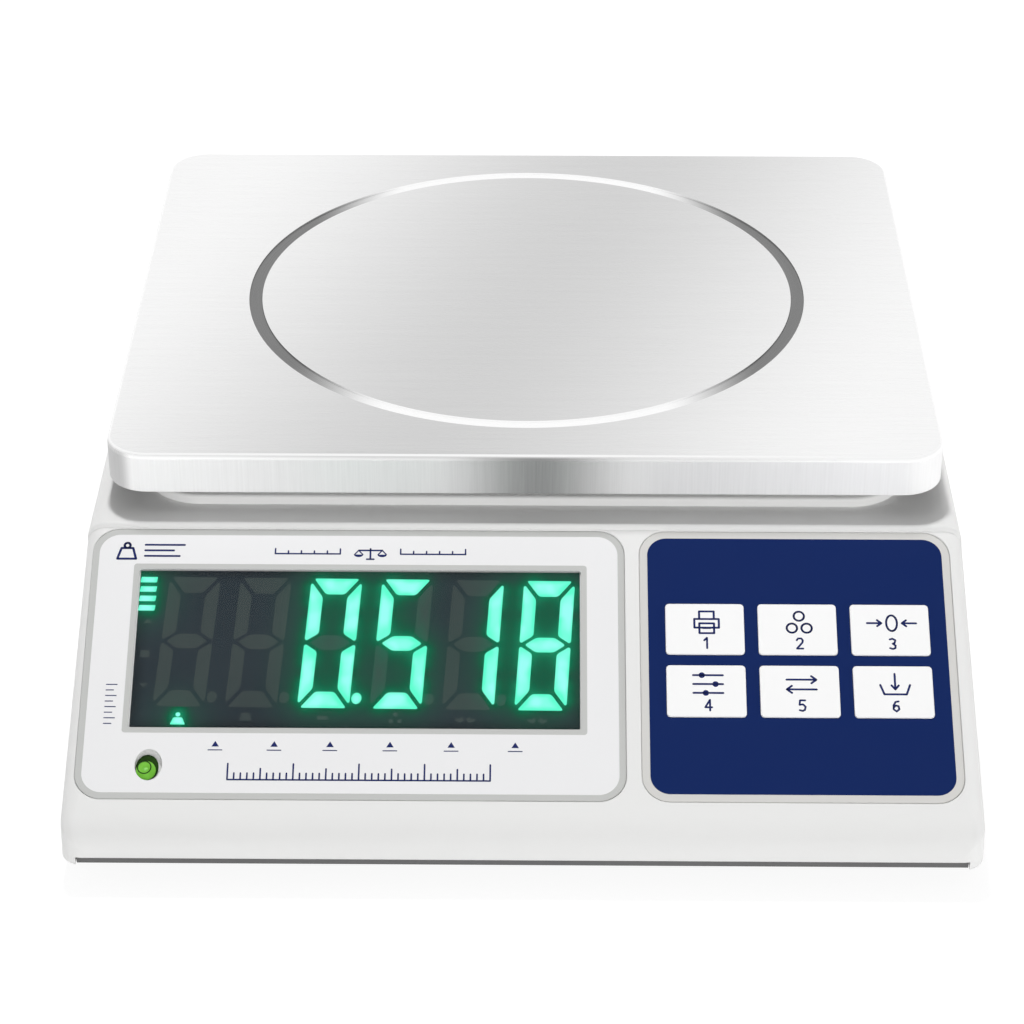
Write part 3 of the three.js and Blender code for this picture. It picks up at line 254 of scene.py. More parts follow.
def drawn_in(outline, share):
    """The outline shrunk towards its middle to a share of its size."""
    middle = middle_of(outline)
    return [tuple(Vector(p).lerp(middle, 1 - share)) for p in outline]


def rounded_corners(points, radius=1.0, steps=3):
    """The outline with each corner replaced by a short curve."""
    made = []
    for i, corner in enumerate(points):
        corner = Vector(corner)
        before, after = Vector(points[i - 1]), Vector(points[(i + 1) % len(points)])
        reach = min(radius, (before - corner).length * 0.45, (after - corner).length * 0.45)
        start = corner + (before - corner).normalized() * reach
        end = corner + (after - corner).normalized() * reach
        for k in range(steps + 1):
            t = k / steps
            made.append(tuple(start * (1 - t) ** 2 + corner * 2 * t * (1 - t) + end * t**2))
    return made


def arc_levels(inset, z, radius, steps):
    """Levels of a rounded edge: the inset shrinks from radius to 0 as z sinks by radius."""
    angles = [math.radians(90 * k / steps) for k in range(steps + 1)]
    return [(inset + radius * (1 - math.sin(a)), z - radius * (1 - math.cos(a))) for a in angles]


def level_rings(width, height, radius, levels, steps):
    """One rounded rectangle for each level, drawn in by its inset."""
    return [
        raised(rounded_outline(width - 2 * inset, height - 2 * inset, max(radius - inset, 0.05), steps), z)
        for inset, z in levels
    ]


def grid_faces(across, rows):
    """The faces of a grid with so many points across and so many rows."""
    starts = [j * across + i for j in range(rows - 1) for i in range(across - 1)]
    return [[at, at + 1, at + across + 1, at + across] for at in starts]


def fan_faces(around):
    """Triangles from point 0 to the ring of the points after it."""
    return [[0, 1 + i, 1 + (i + 1) % around] for i in range(around)]


# Meshes
class Shape:
    """Points and faces in millimetres, with a material number for each face."""

    def __init__(self):
        self.points = []
        self.faces = []
        self.marks = []

    def add(self, points, faces, mark=0):
        first = len(self.points)
        self.points += points
        self.faces += [[first + i for i in face] for face in faces]
        self.marks += [mark] * len(faces)
        return self

    def loops(self, rings, place=upright, mark=0, closed=True):
        """A skin through rings of equally many points, with flat ends when closed."""
        around = len(rings[0])
        points = [place(*p) for ring in rings for p in ring]
        faces = []
        for j in range(len(rings) - 1):
            for i in range(around):
                a, b = j * around + i, j * around + (i + 1) % around
                faces.append([a, a + around, b + around, b])
        if closed:
            last = (len(rings) - 1) * around
            faces.append(list(range(around)))
            faces.append([last + i for i in reversed(range(around))])
        return self.add(points, faces, mark)

    def skin(self, width, height, radius, levels, place=upright, steps=8):
        """A closed skin through level outlines of one rounded rectangle."""
        return self.loops(level_rings(width, height, radius, levels, steps), place)

    def lathe(self, profile, place=upright, steps=48):
        """A closed skin around z through (radius, z) points from the top down."""
        return self.loops([raised(circle(2 * radius, steps), z) for radius, z in profile], place)

    def prism(self, outline, high, low, place=upright, mark=0, closed=True):
        return self.loops([raised(outline, high), raised(outline, low)], place, mark, closed)

    def box(self, width, height, high, low, place=upright):
        x, y = width / 2, height / 2
        return self.prism([(-x, -y), (x, -y), (x, y), (-x, y)], high, low, place)

    def between(self, rings, z, place=upright, mark=0):
        """A flat face at z inside the first outline and outside the others."""
        mesh = bmesh.new()
        edges = []
        for ring in rings:
            verts = [mesh.verts.new((x, y, 0)) for x, y in ring]
            edges += [mesh.edges.new((v, verts[(i + 1) % len(verts)])) for i, v in enumerate(verts)]
        bmesh.ops.triangle_fill(mesh, use_beauty=True, use_dissolve=False, edges=edges)
        mesh.verts.index_update()
        points = [place(v.co.x, v.co.y, z) for v in mesh.verts]
        faces = [[v.index for v in face.verts] for face in mesh.faces]
        mesh.free()
        return self.add(points, faces, mark)

    def build(self, name, weld=True):
        mesh = bpy.data.meshes.new(name)
        mesh.from_pydata([Vector(p) * MM for p in self.points], [], self.faces)
        mesh.polygons.foreach_set("material_index", self.marks)
        work = bmesh.new()
        work.from_mesh(mesh)
        if weld:
            bmesh.ops.remove_doubles(work, verts=work.verts, dist=1e-6)
        bmesh.ops.recalc_face_normals(work, faces=work.faces)
        work.to_mesh(mesh)
        work.free()
        piece = bpy.data.objects.new(name, mesh)
        bpy.context.scene.collection.objects.link(piece)
        return piece


def combine(piece, shapes, operation="DIFFERENCE"):
    """Cuts the shapes out of the piece, or joins them to it."""
    tools = [shape.build("tool") for shape in shapes]
    for tool in tools:
        modifier = piece.modifiers.new("cut", "BOOLEAN")
        modifier.operation = operation
        modifier.solver = "MANIFOLD"
        modifier.object = tool
    bpy.context.view_layer.update()
    evaluated = piece.evaluated_get(bpy.context.evaluated_depsgraph_get())
    made = bpy.data.meshes.new_from_object(evaluated)
    piece.modifiers.clear()
    piece.data = made
    for tool in tools:
        bpy.data.objects.remove(tool)
    return piece


def finished(piece, body, slot, nodes=(), materials=None, smooth=32):
    """Gives the piece its materials, by default those of its finish slot, and the body it rides on, and
    hides the CAD nodes it stands for.
    Faces that meet at less than the smooth angle, in degrees, are shaded as one surface."""
    materials = materials or [SLOT_MATERIALS[slot]]
    marks = [polygon.material_index for polygon in piece.data.polygons]
    piece.data.materials.clear()
    for material in materials:
        piece.data.materials.append(material)
    if len(materials) > 1:
        piece.data.polygons.foreach_set("material_index", marks)
    if smooth:
        piece.data.shade_smooth()
        piece.data.set_sharp_from_angle(angle=math.radians(smooth))
        weighted = piece.modifiers.new("even shading", "WEIGHTED_NORMAL")
        weighted.keep_sharp = True
    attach(piece, body)
    if nodes:
        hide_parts(*nodes)


# Materials
def grey(value):
    """The linear value of a grey given from 0 to 255."""
    share = value / 255
    return share / 12.92 if share <= 0.04045 else ((share + 0.055) / 1.055) ** 2.4


def colour(red, green, blue):
    return (grey(red), grey(green), grey(blue), 1)


class Nodes:
    """A short way to write the nodes of a material or of the world."""

    def __init__(self, owner, shader, settings):
        owner.use_nodes = True
        self.owner = owner
        self.tree = owner.node_tree
        self.shader = self.tree.nodes[shader]
        for key, value in settings.items():
            self.shader.inputs[key.replace("_", " ")].default_value = value

    def node(self, kind, inputs=None, **settings):
        made = self.tree.nodes.new(kind)
        for key, value in settings.items():
            setattr(made, key, value)
        for key, value in (inputs or {}).items():
            if isinstance(value, bpy.types.NodeSocket):
                self.tree.links.new(value, made.inputs[key])
            else:
                made.inputs[key].default_value = value
        return made

    def math(self, operation, a, b=0.0):
        return self.node("ShaderNodeMath", {0: a, 1: b}, operation=operation).outputs[0]

    def times(self, vector, factors):
        return self.node("ShaderNodeVectorMath", {0: vector, 1: factors}, operation="MULTIPLY").outputs[0]

    def link(self, output, name):
        self.tree.links.new(output, self.shader.inputs[name])

    def position(self):
        return self.node("ShaderNodeTexCoord").outputs["Object"]

    def split(self, vector):
        return self.node("ShaderNodeSeparateXYZ", {0: vector}).outputs

    def attribute(self, name):
        return self.node("ShaderNodeAttribute", attribute_name=name).outputs["Fac"]

    def noise(self, scale, detail=3.0, vector=None, roughness=0.5):
        inputs = {"Scale": scale, "Detail": detail, "Roughness": roughness}
        inputs["Vector"] = vector or self.position()
        return self.node("ShaderNodeTexNoise", inputs).outputs["Fac"]

    def mix(self, factor, first, second):
        return self.node("ShaderNodeMix", {0: factor, 6: first, 7: second}, data_type="RGBA").outputs[2]

    def range(self, value, low, high, new_low=0.0, new_high=1.0, smooth=True):
        inputs = {0: value, 1: low, 2: high, 3: new_low, 4: new_high}
        kind = "SMOOTHSTEP" if smooth else "LINEAR"
        return self.node("ShaderNodeMapRange", inputs, interpolation_type=kind).outputs[0]

    def bump(self, height, distance, rounding=0.0):
        """A bump of a given depth in metres, over edges rounded to a radius in metres."""
        inputs = {"Height": height, "Distance": distance, "Strength": 1.0}
        if rounding:
            inputs["Normal"] = self.node("ShaderNodeBevel", {"Radius": rounding}, samples=6).outputs[0]
        self.link(self.node("ShaderNodeBump", inputs).outputs[0], "Normal")


def new_material(name, **settings):
    """The nodes of a new material, with constants for its shader."""
    return Nodes(bpy.data.materials.new(name), "Principled BSDF", settings)


def plastic(name, base, roughness, grain=900, depth=0.00002, spread=0.03, rounding=0.0, **settings):
    """Moulded plastic: slight mottling of colour and gloss, and a fine spark-eroded grain."""
    nodes = new_material(name, **settings)
    tint = nodes.range(nodes.noise(14, 3), 0.3, 0.7, 1 - spread, 1 + spread, smooth=False)
    tints = nodes.node("ShaderNodeCombineXYZ", {0: tint, 1: tint, 2: tint}).outputs[0]
    nodes.link(nodes.times(base[:3], tints), "Base Color")
    nodes.link(nodes.range(nodes.noise(60, 4), 0.25, 0.75, roughness - 0.05, roughness + 0.06), "Roughness")
    nodes.bump(nodes.noise(grain, 3, roughness=0.7), depth, rounding)
    return nodes.owner


def film(name, base, roughness=0.42, spread=0.01, **settings):
    """The smooth printed film of plates and keys."""
    return plastic(name, base, roughness, grain=2200, depth=0.000006, spread=spread, **settings)


def metal(name, base, roughness):
    """Cast or plated metal: a patchy bloom and a fine skin."""
    nodes = new_material(name, Metallic=1.0)
    bloom = nodes.range(nodes.noise(38, 5), 0.3, 0.7)
    dark = tuple(c * 0.88 for c in base[:3]) + (1,)
    light = tuple(min(1, c * 1.06) for c in base[:3]) + (1,)
    nodes.link(nodes.mix(bloom, dark, light), "Base Color")
    nodes.link(nodes.range(nodes.noise(90, 4), 0.3, 0.7, roughness - 0.07, roughness + 0.1), "Roughness")
    nodes.bump(nodes.noise(220, 5, roughness=0.65), 0.00003)
    return nodes.owner


GRAIN_LAYER = "grain"  # its u runs along the brushing and its v across, in metres
FINE_STREAK = 0.030
BROAD_STREAK = 0.120
BROAD_STREAK_WIDTH = 0.0025


def brushed(name, paint, roughness=0.3, metallic=1.0, fine_width=0.0003, contrast=0.012):
    """Brushed stainless steel, streaked along its grain; a function of its nodes gives the colour, with a
    painted reflection.
    """
    nodes = new_material(name, Metallic=metallic, Anisotropic=0.6)
    along = nodes.node("ShaderNodeUVMap", uv_map=GRAIN_LAYER).outputs[0]

    def streaks(length, width, detail):
        return nodes.noise(1.0, detail, nodes.times(along, (1 / length, 1 / width, 1)), 0.6)

    fine = streaks(FINE_STREAK, fine_width, 3.0)
    broad = streaks(BROAD_STREAK, BROAD_STREAK_WIDTH, 2.0)
    fine_tint = nodes.range(fine, 0.3, 0.7, -contrast, contrast)
    broad_tint = nodes.range(broad, 0.3, 0.7, -contrast / 2, contrast / 2)
    shade = nodes.math("ADD", paint(nodes), nodes.math("ADD", fine_tint, broad_tint))
    nodes.link(nodes.node("ShaderNodeCombineColor", {0: shade, 1: shade, 2: shade}).outputs[0], "Base Color")
    nodes.link(nodes.range(fine, 0.3, 0.7, roughness - 0.05, roughness + 0.07), "Roughness")
    tangent = nodes.node("ShaderNodeTangent", direction_type="UV_MAP", uv_map=GRAIN_LAYER)
    nodes.link(tangent.outputs[0], "Tangent")
    nodes.bump(fine, 0.000005)
    return nodes.owner


# Tones of the pan: painted reflections, highlights and shade; places and distances in metres
# Painted reflection on the skirt, darker at its middle and lighter towards the corners, and painted shade on
# the corners
SKIRT_DARK, SKIRT_MEDIUM, SKIRT_LIGHT, SKIRT_CORNER_SHADE = grey(145), grey(226), grey(254), grey(200)
SKIRT_MIDDLE = 0.0044
# Painted reflection on the top, a darker band across the middle and lighter sides, and a painted highlight
# along the bent edge
TOP_DARK, TOP_LIGHT = grey(208), grey(246)
TOP_BAND_REACH = 0.150
TOP_BAND_LEAN = 0.31  # how far the dark band shifts to the right for each length to the rear
TOP_BAND_PIVOT = 0.040  # the y where the band crosses the pan's middle
EDGE_HIGHLIGHT = 0.94
# Painted highlight on the turned ring: light at front and rear, dark at the sides
RING_LIGHT, RING_DARK = 0.98, grey(122)


def skirt_reflection_paint(nodes):
    """Painted reflection: darkest at the middle of front and rear, lightest short of the corners, with
    painted shade on the corners.
    """
    x, y, z = nodes.split(nodes.position())
    away = nodes.math("ABSOLUTE", nodes.math("SUBTRACT", x, SKIRT_MIDDLE))
    near = nodes.range(away, 0.0, 0.036, SKIRT_DARK, SKIRT_MEDIUM)
    far = nodes.range(away, 0.030, 0.132, 0.0, SKIRT_LIGHT - SKIRT_MEDIUM)
    # painted shade on the skirt's corners
    corner = nodes.range(away, 0.1345, 0.1395, 0.0, SKIRT_CORNER_SHADE - SKIRT_LIGHT)
    return nodes.math("ADD", nodes.math("ADD", near, far), corner)


def pan_top_reflection_paint(nodes):
    """Painted reflection: light at the sides, with a soft darker band that leans across the middle, and a
    painted highlight along the bent edge.
    """
    x, y, z = nodes.split(nodes.position())

    def by_height(low, high, first, second):
        """From the first to the second value between two heights, counted down from the pan's top."""
        return nodes.range(z, (PAN_TOP - low) * MM, (PAN_TOP - high) * MM, first, second)

    lean = nodes.math("MULTIPLY", nodes.math("SUBTRACT", y, TOP_BAND_PIVOT), TOP_BAND_LEAN)
    away = nodes.math("ABSOLUTE", nodes.math("SUBTRACT", x, lean))
    flat = nodes.range(away, 0.0, TOP_BAND_REACH, TOP_DARK, TOP_LIGHT)
    on_skirt = by_height(1.7, 0.9, 1.0, 0.0)
    above = nodes.math("MULTIPLY", flat, nodes.math("SUBTRACT", 1.0, on_skirt))
    below = nodes.math("MULTIPLY", skirt_reflection_paint(nodes), on_skirt)
    # painted highlight along the bend
    painted_highlight = nodes.math("MULTIPLY", by_height(1.6, 0.8, 0.0, EDGE_HIGHLIGHT), by_height(0.5, 0.15, 1.0, 0.0))
    return nodes.math("MAXIMUM", nodes.math("ADD", above, below), painted_highlight)


def ring_highlight_paint(nodes):
    """The turned ring's painted highlight: bright at front and rear, dark at the sides."""
    x, y, z = nodes.split(nodes.position())
    return nodes.range(nodes.math("ABSOLUTE", x), 0.046, 0.082, RING_LIGHT, RING_DARK)


def window_tint():
    """Smoked acrylic that lets most of the display through."""
    nodes = new_material("smoked window", Alpha=0.14, Roughness=0.12)
    mottle = nodes.range(nodes.noise(30, 3), 0.3, 0.7)
    nodes.link(nodes.mix(mottle, colour(24, 34, 40), colour(28, 38, 44)), "Base Color")
    return nodes.owner


SLOT_MATERIALS = {
    "housing_white": plastic(
        "white moulded plastic", colour(235, 235, 234), 0.36, rounding=0.0004, spread=0.006
    ),
    "base_grey": plastic("grey moulded plastic", colour(99, 99, 99), 0.5, 1400, 0.00006, rounding=0.0004),
    "stainless": brushed("brushed steel top", pan_top_reflection_paint),
    "cast_aluminium": metal("cast aluminium", colour(180, 183, 186), 0.42),
    "zinc_steel": metal("zinc plated steel", colour(154, 156, 159), 0.34),
    "label_white": film("label white", colour(239, 239, 240), spread=0.004),
    "keypad_blue": film("keypad navy", colour(17, 38, 91), 0.45, 0.02, Specular_IOR_Level=0.1),
    "key_white": film("white key", colour(252, 252, 252), 0.4, 0.002),
    "window_tint": window_tint(),
    "led_black": plastic("display module", colour(44, 53, 60), 0.5, 1500, Specular_IOR_Level=0.15),
    "board_green": plastic("green board", colour(29, 90, 56), 0.3, 500, spread=0.08),
    "black_plastic": plastic("black plastic", colour(30, 30, 32), 0.42, 1100, 0.00005, rounding=0.0003),
    "rubber": plastic("black rubber", colour(38, 38, 39), 0.75, 1600, 0.00005),
    "battery_grey": plastic("battery case", colour(62, 64, 68), 0.5),
    "cable_grey": plastic("lead sleeve", colour(120, 122, 126), 0.45),
}
SKIRT_STEEL = brushed("brushed steel skirt", skirt_reflection_paint, 0.45, 0.35, fine_width=0.0007, contrast=0.022)
RING_STEEL = brushed("turned steel ring", ring_highlight_paint, roughness=0.24)
TRAY_WHITE = plastic("white tray plastic", colour(240, 240, 240), 0.4, spread=0.006)
LABEL_BAND = film("label grey", colour(196, 197, 195))
KEYPAD_BAND = film("keypad grey", colour(214, 213, 210))
NAVY_INK = plastic("navy ink", colour(32, 42, 96), 0.5, 3000, 0.000003, Specular_IOR_Level=0.15)
WHITE_INK = plastic("white ink", colour(226, 226, 224), 0.5, 3000, 0.000003)
DARK_INK = plastic("black print", colour(18, 40, 10), 0.5, 2000, 0.000004, Specular_IOR_Level=0.2)
BRASS = metal("plated contacts", colour(206, 170, 104), 0.3)


# Housing
def roof_z(y, inset):
    """Height of the roof over y: level on the deck, then sloping, and rounded down into the front face."""
    bend = CREASE_RADIUS - inset
    tangent = bend * math.tan(PANEL_TILT / 2)
    ahead = CREASE_Y + inset * math.tan(PANEL_TILT / 2) - y
    level = DECK_Z - inset
    if not inset and ahead < BROW_RUN:
        return level - BROW_RUN * math.tan(PANEL_TILT) * (max(0, ahead) / BROW_RUN) ** BROW_ROLL
    if inset and ahead <= -tangent:
        return level
    if inset and ahead < tangent * math.cos(PANEL_TILT):
        return level - bend + math.sqrt(bend**2 - (ahead + tangent) ** 2)
    front_bend = FRONT_RADIUS - inset
    from_centre = FRONT_Y + FRONT_RADIUS - y
    if from_centre < front_bend * math.sin(PANEL_TILT):
        return level - ahead * math.tan(PANEL_TILT)
    return FRONT_CENTRE_Z + math.sqrt(max(0, front_bend**2 - from_centre**2))


def edge_of(x, y, inset):
    """Distance from a point to the plan's edge, and how squarely that edge faces the front."""
    half_x, half_y = BODY_WIDTH / 2 - inset, BODY_DEPTH / 2 - inset
    radius = CORNER_RADIUS - inset
    over_x, over_y = abs(x) - (half_x - radius), abs(y) - (half_y - radius)
    if over_x > 0 and over_y > 0:
        reach = math.hypot(over_x, over_y)
        return radius - reach, (over_y / reach) ** 2 if y < 0 else 0
    to_side, to_end = half_x - abs(x), half_y - abs(y)
    return min(to_side, to_end), 1 if to_end < to_side and y < 0 else 0


def skin_z(x, y, inset):
    distance, facing = edge_of(x, y, inset)
    radius = (EDGE_RADIUS - inset) * (1 - facing)
    short = min(radius, max(0, radius - distance))
    return roof_z(y, inset) - (radius - math.sqrt(max(0, radius**2 - short**2)))


def housing_form(inset, bottom_z, steps):
    """A filled form of the housing: a grid over the plan, with sides that lean in towards the deck."""
    half_x, half_y = BODY_WIDTH / 2 - inset, BODY_DEPTH / 2 - inset
    radius = CORNER_RADIUS - inset
    shares = [k / steps for k in range(steps + 1)]

    def rounded(reach, turn=math.pi / 2):
        return [reach * (1 - math.cos(turn * share)) for share in shares]

    front = [away - half_y for away in rounded(FRONT_RADIUS - inset, math.pi / 2 - PANEL_TILT)]
    rear = [half_y - away for away in rounded(radius)]
    if inset:
        bend_radius = CREASE_RADIUS - inset
        bend_end = CREASE_Y + (inset + bend_radius) * math.tan(PANEL_TILT / 2)
        bend = [bend_end - bend_radius * math.sin(PANEL_TILT * (1 - share)) for share in shares]
    else:
        bend = [CREASE_Y - BROW_RUN * (1 - share) for share in shares]
    rows = front + bend + rear[::-1]
    offsets = rounded(EDGE_RADIUS - inset) + [2 * EDGE_RADIUS]
    columns = [(-1, away) for away in offsets] + [(1, away) for away in reversed(offsets)]
    points = []
    for y in rows:
        over = max(0, abs(y) - (half_y - radius))
        half_here = half_x - radius + math.sqrt(max(0, radius**2 - over**2))
        for sign, offset in columns:
            x = sign * (half_here - offset)
            points.append((x, y, skin_z(x, y, inset)))
    across = len(columns)
    faces = grid_faces(across, len(rows))
    last = (len(rows) - 1) * across
    loop = list(range(across))
    loop += [j * across + across - 1 for j in range(1, len(rows))]
    loop += [last + i for i in range(across - 2, -1, -1)]
    loop += [j * across for j in range(len(rows) - 2, 0, -1)]
    foot = len(points)
    points += [(points[at][0], points[at][1], bottom_z) for at in loop]
    for k, at in enumerate(loop):
        after = (k + 1) % len(loop)
        faces.append([loop[after], at, foot + k, foot + after])
    faces.append([foot + k for k in reversed(range(len(loop)))])
    lean = SIDE_DRAFT / (BODY_WIDTH / 2) / BODY_HEIGHT
    return Shape().add([(x * (1 - lean * (z - FLOOR_GAP)), y, z) for x, y, z in points], faces)


def flared_cut(width, height, radius, bottom, top, rounding, place):
    """A cutter whose mouth at z = 0 opens out, so that the cut edge is rounded."""
    mouth = [math.radians(15 * k) for k in range(7)]
    levels = [(0, bottom)]
    levels += [(-rounding * (1 - math.cos(a)), -rounding * (1 - math.sin(a))) for a in mouth]
    levels += [(-rounding, top)]
    return Shape().skin(width, height, radius, levels, place, 12)


def around_tray(margin, levels):
    """A form whose outline keeps an even margin around the tray."""
    width, depth = TRAY_WIDTH + 2 * margin, TRAY_DEPTH + 2 * margin
    return Shape().skin(width, depth, TRAY_CORNER + margin, levels, over_pan, 12)


def plate_seat(x, width):
    place = shifted(on_panel, x, PLATE_Y)
    floor, top = -PLATE_RECESS, FRONT_RADIUS
    return flared_cut(width, PLATE_LENGTH, PLATE_CORNER, floor, top, PLATE_SEAT_ROUNDING, place)


def panel_opening(x, y, width, height, radius):
    levels = [(0, FRONT_RADIUS), (0, -2 * WALL)]
    return Shape().skin(width, height, radius, levels, shifted(on_panel, x, y), 4)


def sight_outline(x=0, y=0):
    return oval(SIGHT_HOLE, SIGHT_HOLE * HOLE_OVAL, x, y)


def joined_forms():
    """What stands on the housing's skin or hangs from it: bay walls, level tube, plateau, the tray's rim."""
    around_bay = (BAY_WIDTH + 2 * BAY_WALL, BAY_HEIGHT + 2 * BAY_WALL)
    bay = Shape().box(*around_bay, BAY_DEPTH - WALL / 2, -BAY_WALL, facing_rear)
    tube_top = LEVEL_Z - LEVEL_TUBE / 2 * math.tan(PANEL_TILT) - WALL / 4
    tube_ends = [(LEVEL_TUBE / 2, tube_top), (LEVEL_TUBE / 2, VIAL_BOTTOM)]
    tube = Shape().lathe(tube_ends, shifted(upright, LEVEL_X, LEVEL_Y))
    root = [(0, DECK_Z - WALL / 2)]
    plateau = around_tray(PLATEAU_MARGIN, arc_levels(0, PLATEAU_Z, PLATEAU_ROUNDING, 5) + root)
    rim_levels = arc_levels(0, DECK_Z + RIM_RISE, RIM_ROUNDING, 6) + root
    rim = around_tray(RIM_MARGIN + RIM_WIDTH, rim_levels)
    return [bay, tube, plateau, rim]


def bay_openings():
    """The rear bay, and the holes through its floor for the switch, the serial port and the power jack."""
    back = -BAY_WALL - 1
    mouth = shifted(facing_rear, 0, 0, BAY_DEPTH)
    switch_at, jack_at = shifted(facing_rear, BAY_SPACING, 0), shifted(facing_rear, -BAY_SPACING, 0)
    return [
        flared_cut(BAY_WIDTH, BAY_HEIGHT, BAY_CORNER, -BAY_DEPTH, 2, BAY_ROUNDING, mouth),
        Shape().box(*SWITCH_HOLE, 1, back, switch_at),
        Shape().box(*PORT_HOLE, 1, back, facing_rear),
        Shape().lathe([(JACK_HOLE / 2, 1), (JACK_HOLE / 2, back)], jack_at, 32),
    ]


def housing_shell():
    shell = combine(
        housing_form(0, FLOOR_GAP, 12).build("housing_shell"),
        [housing_form(WALL, FLOOR_GAP - 1, 5)],
    )
    combine(shell, joined_forms(), "UNION")
    cuts = [
        around_tray(RIM_MARGIN, [(0, DECK_Z + RIM_RISE + 1), (0, PLATEAU_Z)]),
        plate_seat(LABEL_X, LABEL_WIDTH),
        plate_seat(KEYPAD_X, KEYPAD_WIDTH),
    ]
    ledge_to_ledge = (WINDOW_WIDTH - 2 * WINDOW_LEDGE, WINDOW_HEIGHT - 2 * WINDOW_LEDGE)
    cuts.append(panel_opening(WINDOW_X, WINDOW_Y, *ledge_to_ledge, FIT_GAP))
    for x, y in KEY_PLACES:
        cuts.append(panel_opening(x, y, KEY_WIDTH + 2 * KEY_PLAY, KEY_HEIGHT + 2 * KEY_PLAY, KEY_CORNER))
    over_hole = shifted(on_panel, LEVEL_X, -LEVEL_FROM_CREASE)
    cuts.append(Shape().prism(sight_outline(), WALL, -SIGHT_DEPTH, over_hole))
    seat = VIAL_DIAMETER / 2 + FIT_GAP
    vial_seat = [(seat, VIAL_TOP + FIT_GAP), (seat, VIAL_BOTTOM - 1)]
    cuts.append(Shape().lathe(vial_seat, shifted(upright, LEVEL_X, LEVEL_Y)))
    through_deck = [(0, PLATEAU_Z + 1), (0, DECK_Z - 2 * WALL)]
    at_pillar = shifted(over_pan, PILLAR_X, 0)
    cuts.append(Shape().skin(*PILLAR_OPENING, PILLAR_CORNER, through_deck, at_pillar, 6))
    along_front = shifted(upright, 0, FRONT_Y + WALL / 2)
    notch_top = FLOOR_GAP + NOTCH_HEIGHT
    cuts.append(Shape().box(BODY_WIDTH - 2 * NOTCH_MARGIN, WALL + 2, notch_top, FLOOR_GAP - 1, along_front))
    return combine(shell, cuts + bay_openings())


finished(housing_shell(), "root", "housing_white", ["top_housing"])


# Weighing pan
def shell_levels(top_z, bottom_z, bend, sheet, steps):
    """Levels of an open tray turned upside down: over a rounded edge, down the wall and up inside it."""
    lip = min(sheet * 0.35, 0.4)
    levels = arc_levels(0, top_z, bend, steps)
    levels += [(0, bottom_z + lip), (lip * 0.3, bottom_z + lip * 0.3), (lip, bottom_z)]
    levels += [(sheet - lip, bottom_z), (sheet - lip * 0.3, bottom_z + lip * 0.3), (sheet, bottom_z + lip)]
    return levels + arc_levels(sheet, top_z - sheet, max(bend - sheet, 0.1), steps)[::-1]


def grain_map(piece, ring_inner, ring_outer):
    """Lays the grain along X on the top, upright on the skirt and around the ring."""
    mesh = piece.data
    layer = mesh.uv_layers.new(name=GRAIN_LAYER)
    middle = Vector((0, PAN_Y * MM, 0))
    for polygon in mesh.polygons:
        height = polygon.center.z / MM
        flat = height > PAN_TOP - PAN_BEND
        centre_arm = polygon.center - middle
        from_middle = centre_arm.to_2d().length / MM
        on_ring = height > PAN_TOP - PAN_SHEET / 2 and ring_inner < from_middle < ring_outer
        for corner in polygon.loop_indices:
            point = mesh.vertices[mesh.loops[corner].vertex_index].co
            if on_ring:
                arm = point - middle
                turn = math.atan2(arm.y, arm.x)
                whole = math.atan2(centre_arm.y, centre_arm.x)
                turn += 2 * math.pi * round((whole - turn) / (2 * math.pi))
                layer.data[corner].uv = (turn * ring_outer * MM, arm.to_2d().length)
            elif flat:
                layer.data[corner].uv = (point.x, point.y)
            elif abs(polygon.normal.y) > abs(polygon.normal.x):
                layer.data[corner].uv = (point.z, point.x)
            else:
                layer.data[corner].uv = (point.z, point.y)
        polygon.material_index = 2 if on_ring else 0 if flat else 1


def weighing_pan():
    levels = shell_levels(PAN_TOP, PAN_TOP - PAN_SKIRT, PAN_BEND, PAN_SHEET, 6)
    rings = level_rings(PAN_WIDTH, PAN_DEPTH, PAN_CORNER, levels, 12)
    outer, inner = RING_DIAMETER / 2, RING_DIAMETER / 2 - RING_WIDTH
    half = RING_DEPTH / 2
    profile = [(outer - half * away, PAN_TOP - half * down) for away, down in GROOVE_EDGE]
    profile += [(inner + half * away, PAN_TOP - half * down) for away, down in reversed(GROOVE_EDGE)]
    around = 160
    groove = [raised(circle(2 * radius, around), z) for radius, z in profile]
    pan = Shape()
    pan.loops(rings, over_pan, closed=False)
    pan.loops(groove, over_pan, closed=False)
    pan.between([[(x, y) for x, y, z in ring] for ring in (rings[0], groove[0])], PAN_TOP, over_pan)
    pan.add([over_pan(*p) for p in groove[-1]], [list(range(around))])
    pan.add([over_pan(*p) for p in rings[-1]], [list(reversed(range(len(rings[-1]))))])
    piece = pan.build("pan_sheet")
    grain_map(piece, inner - 0.02, outer + 0.02)
    return piece


def pan_tray():
    levels = shell_levels(TRAY_TOP, TRAY_BOTTOM, TRAY_BEND, TRAY_WALL, 8)
    tray = Shape().skin(TRAY_WIDTH, TRAY_DEPTH, TRAY_CORNER, levels, over_pan, 12).build("tray_shell")
    radius = CUSHION_STEM / 2 + FIT_GAP
    through = [(radius, TRAY_TOP + 1), (radius, TRAY_TOP - 2 * TRAY_WALL)]
    spread_x, spread_y = CUSHION_SPREAD
    places = [shifted(over_pan, x, y) for x in (-spread_x, spread_x) for y in (-spread_y, spread_y)]
    return combine(tray, [Shape().lathe(through, place, 24) for place in places])


pan_steels = [SLOT_MATERIALS["stainless"], SKIRT_STEEL, RING_STEEL]
finished(weighing_pan(), "weighing_pan", "stainless", ["weighing_pan"], pan_steels, smooth=28)
finished(pan_tray(), "platform", "housing_white", ["pan_tray"], [TRAY_WHITE])


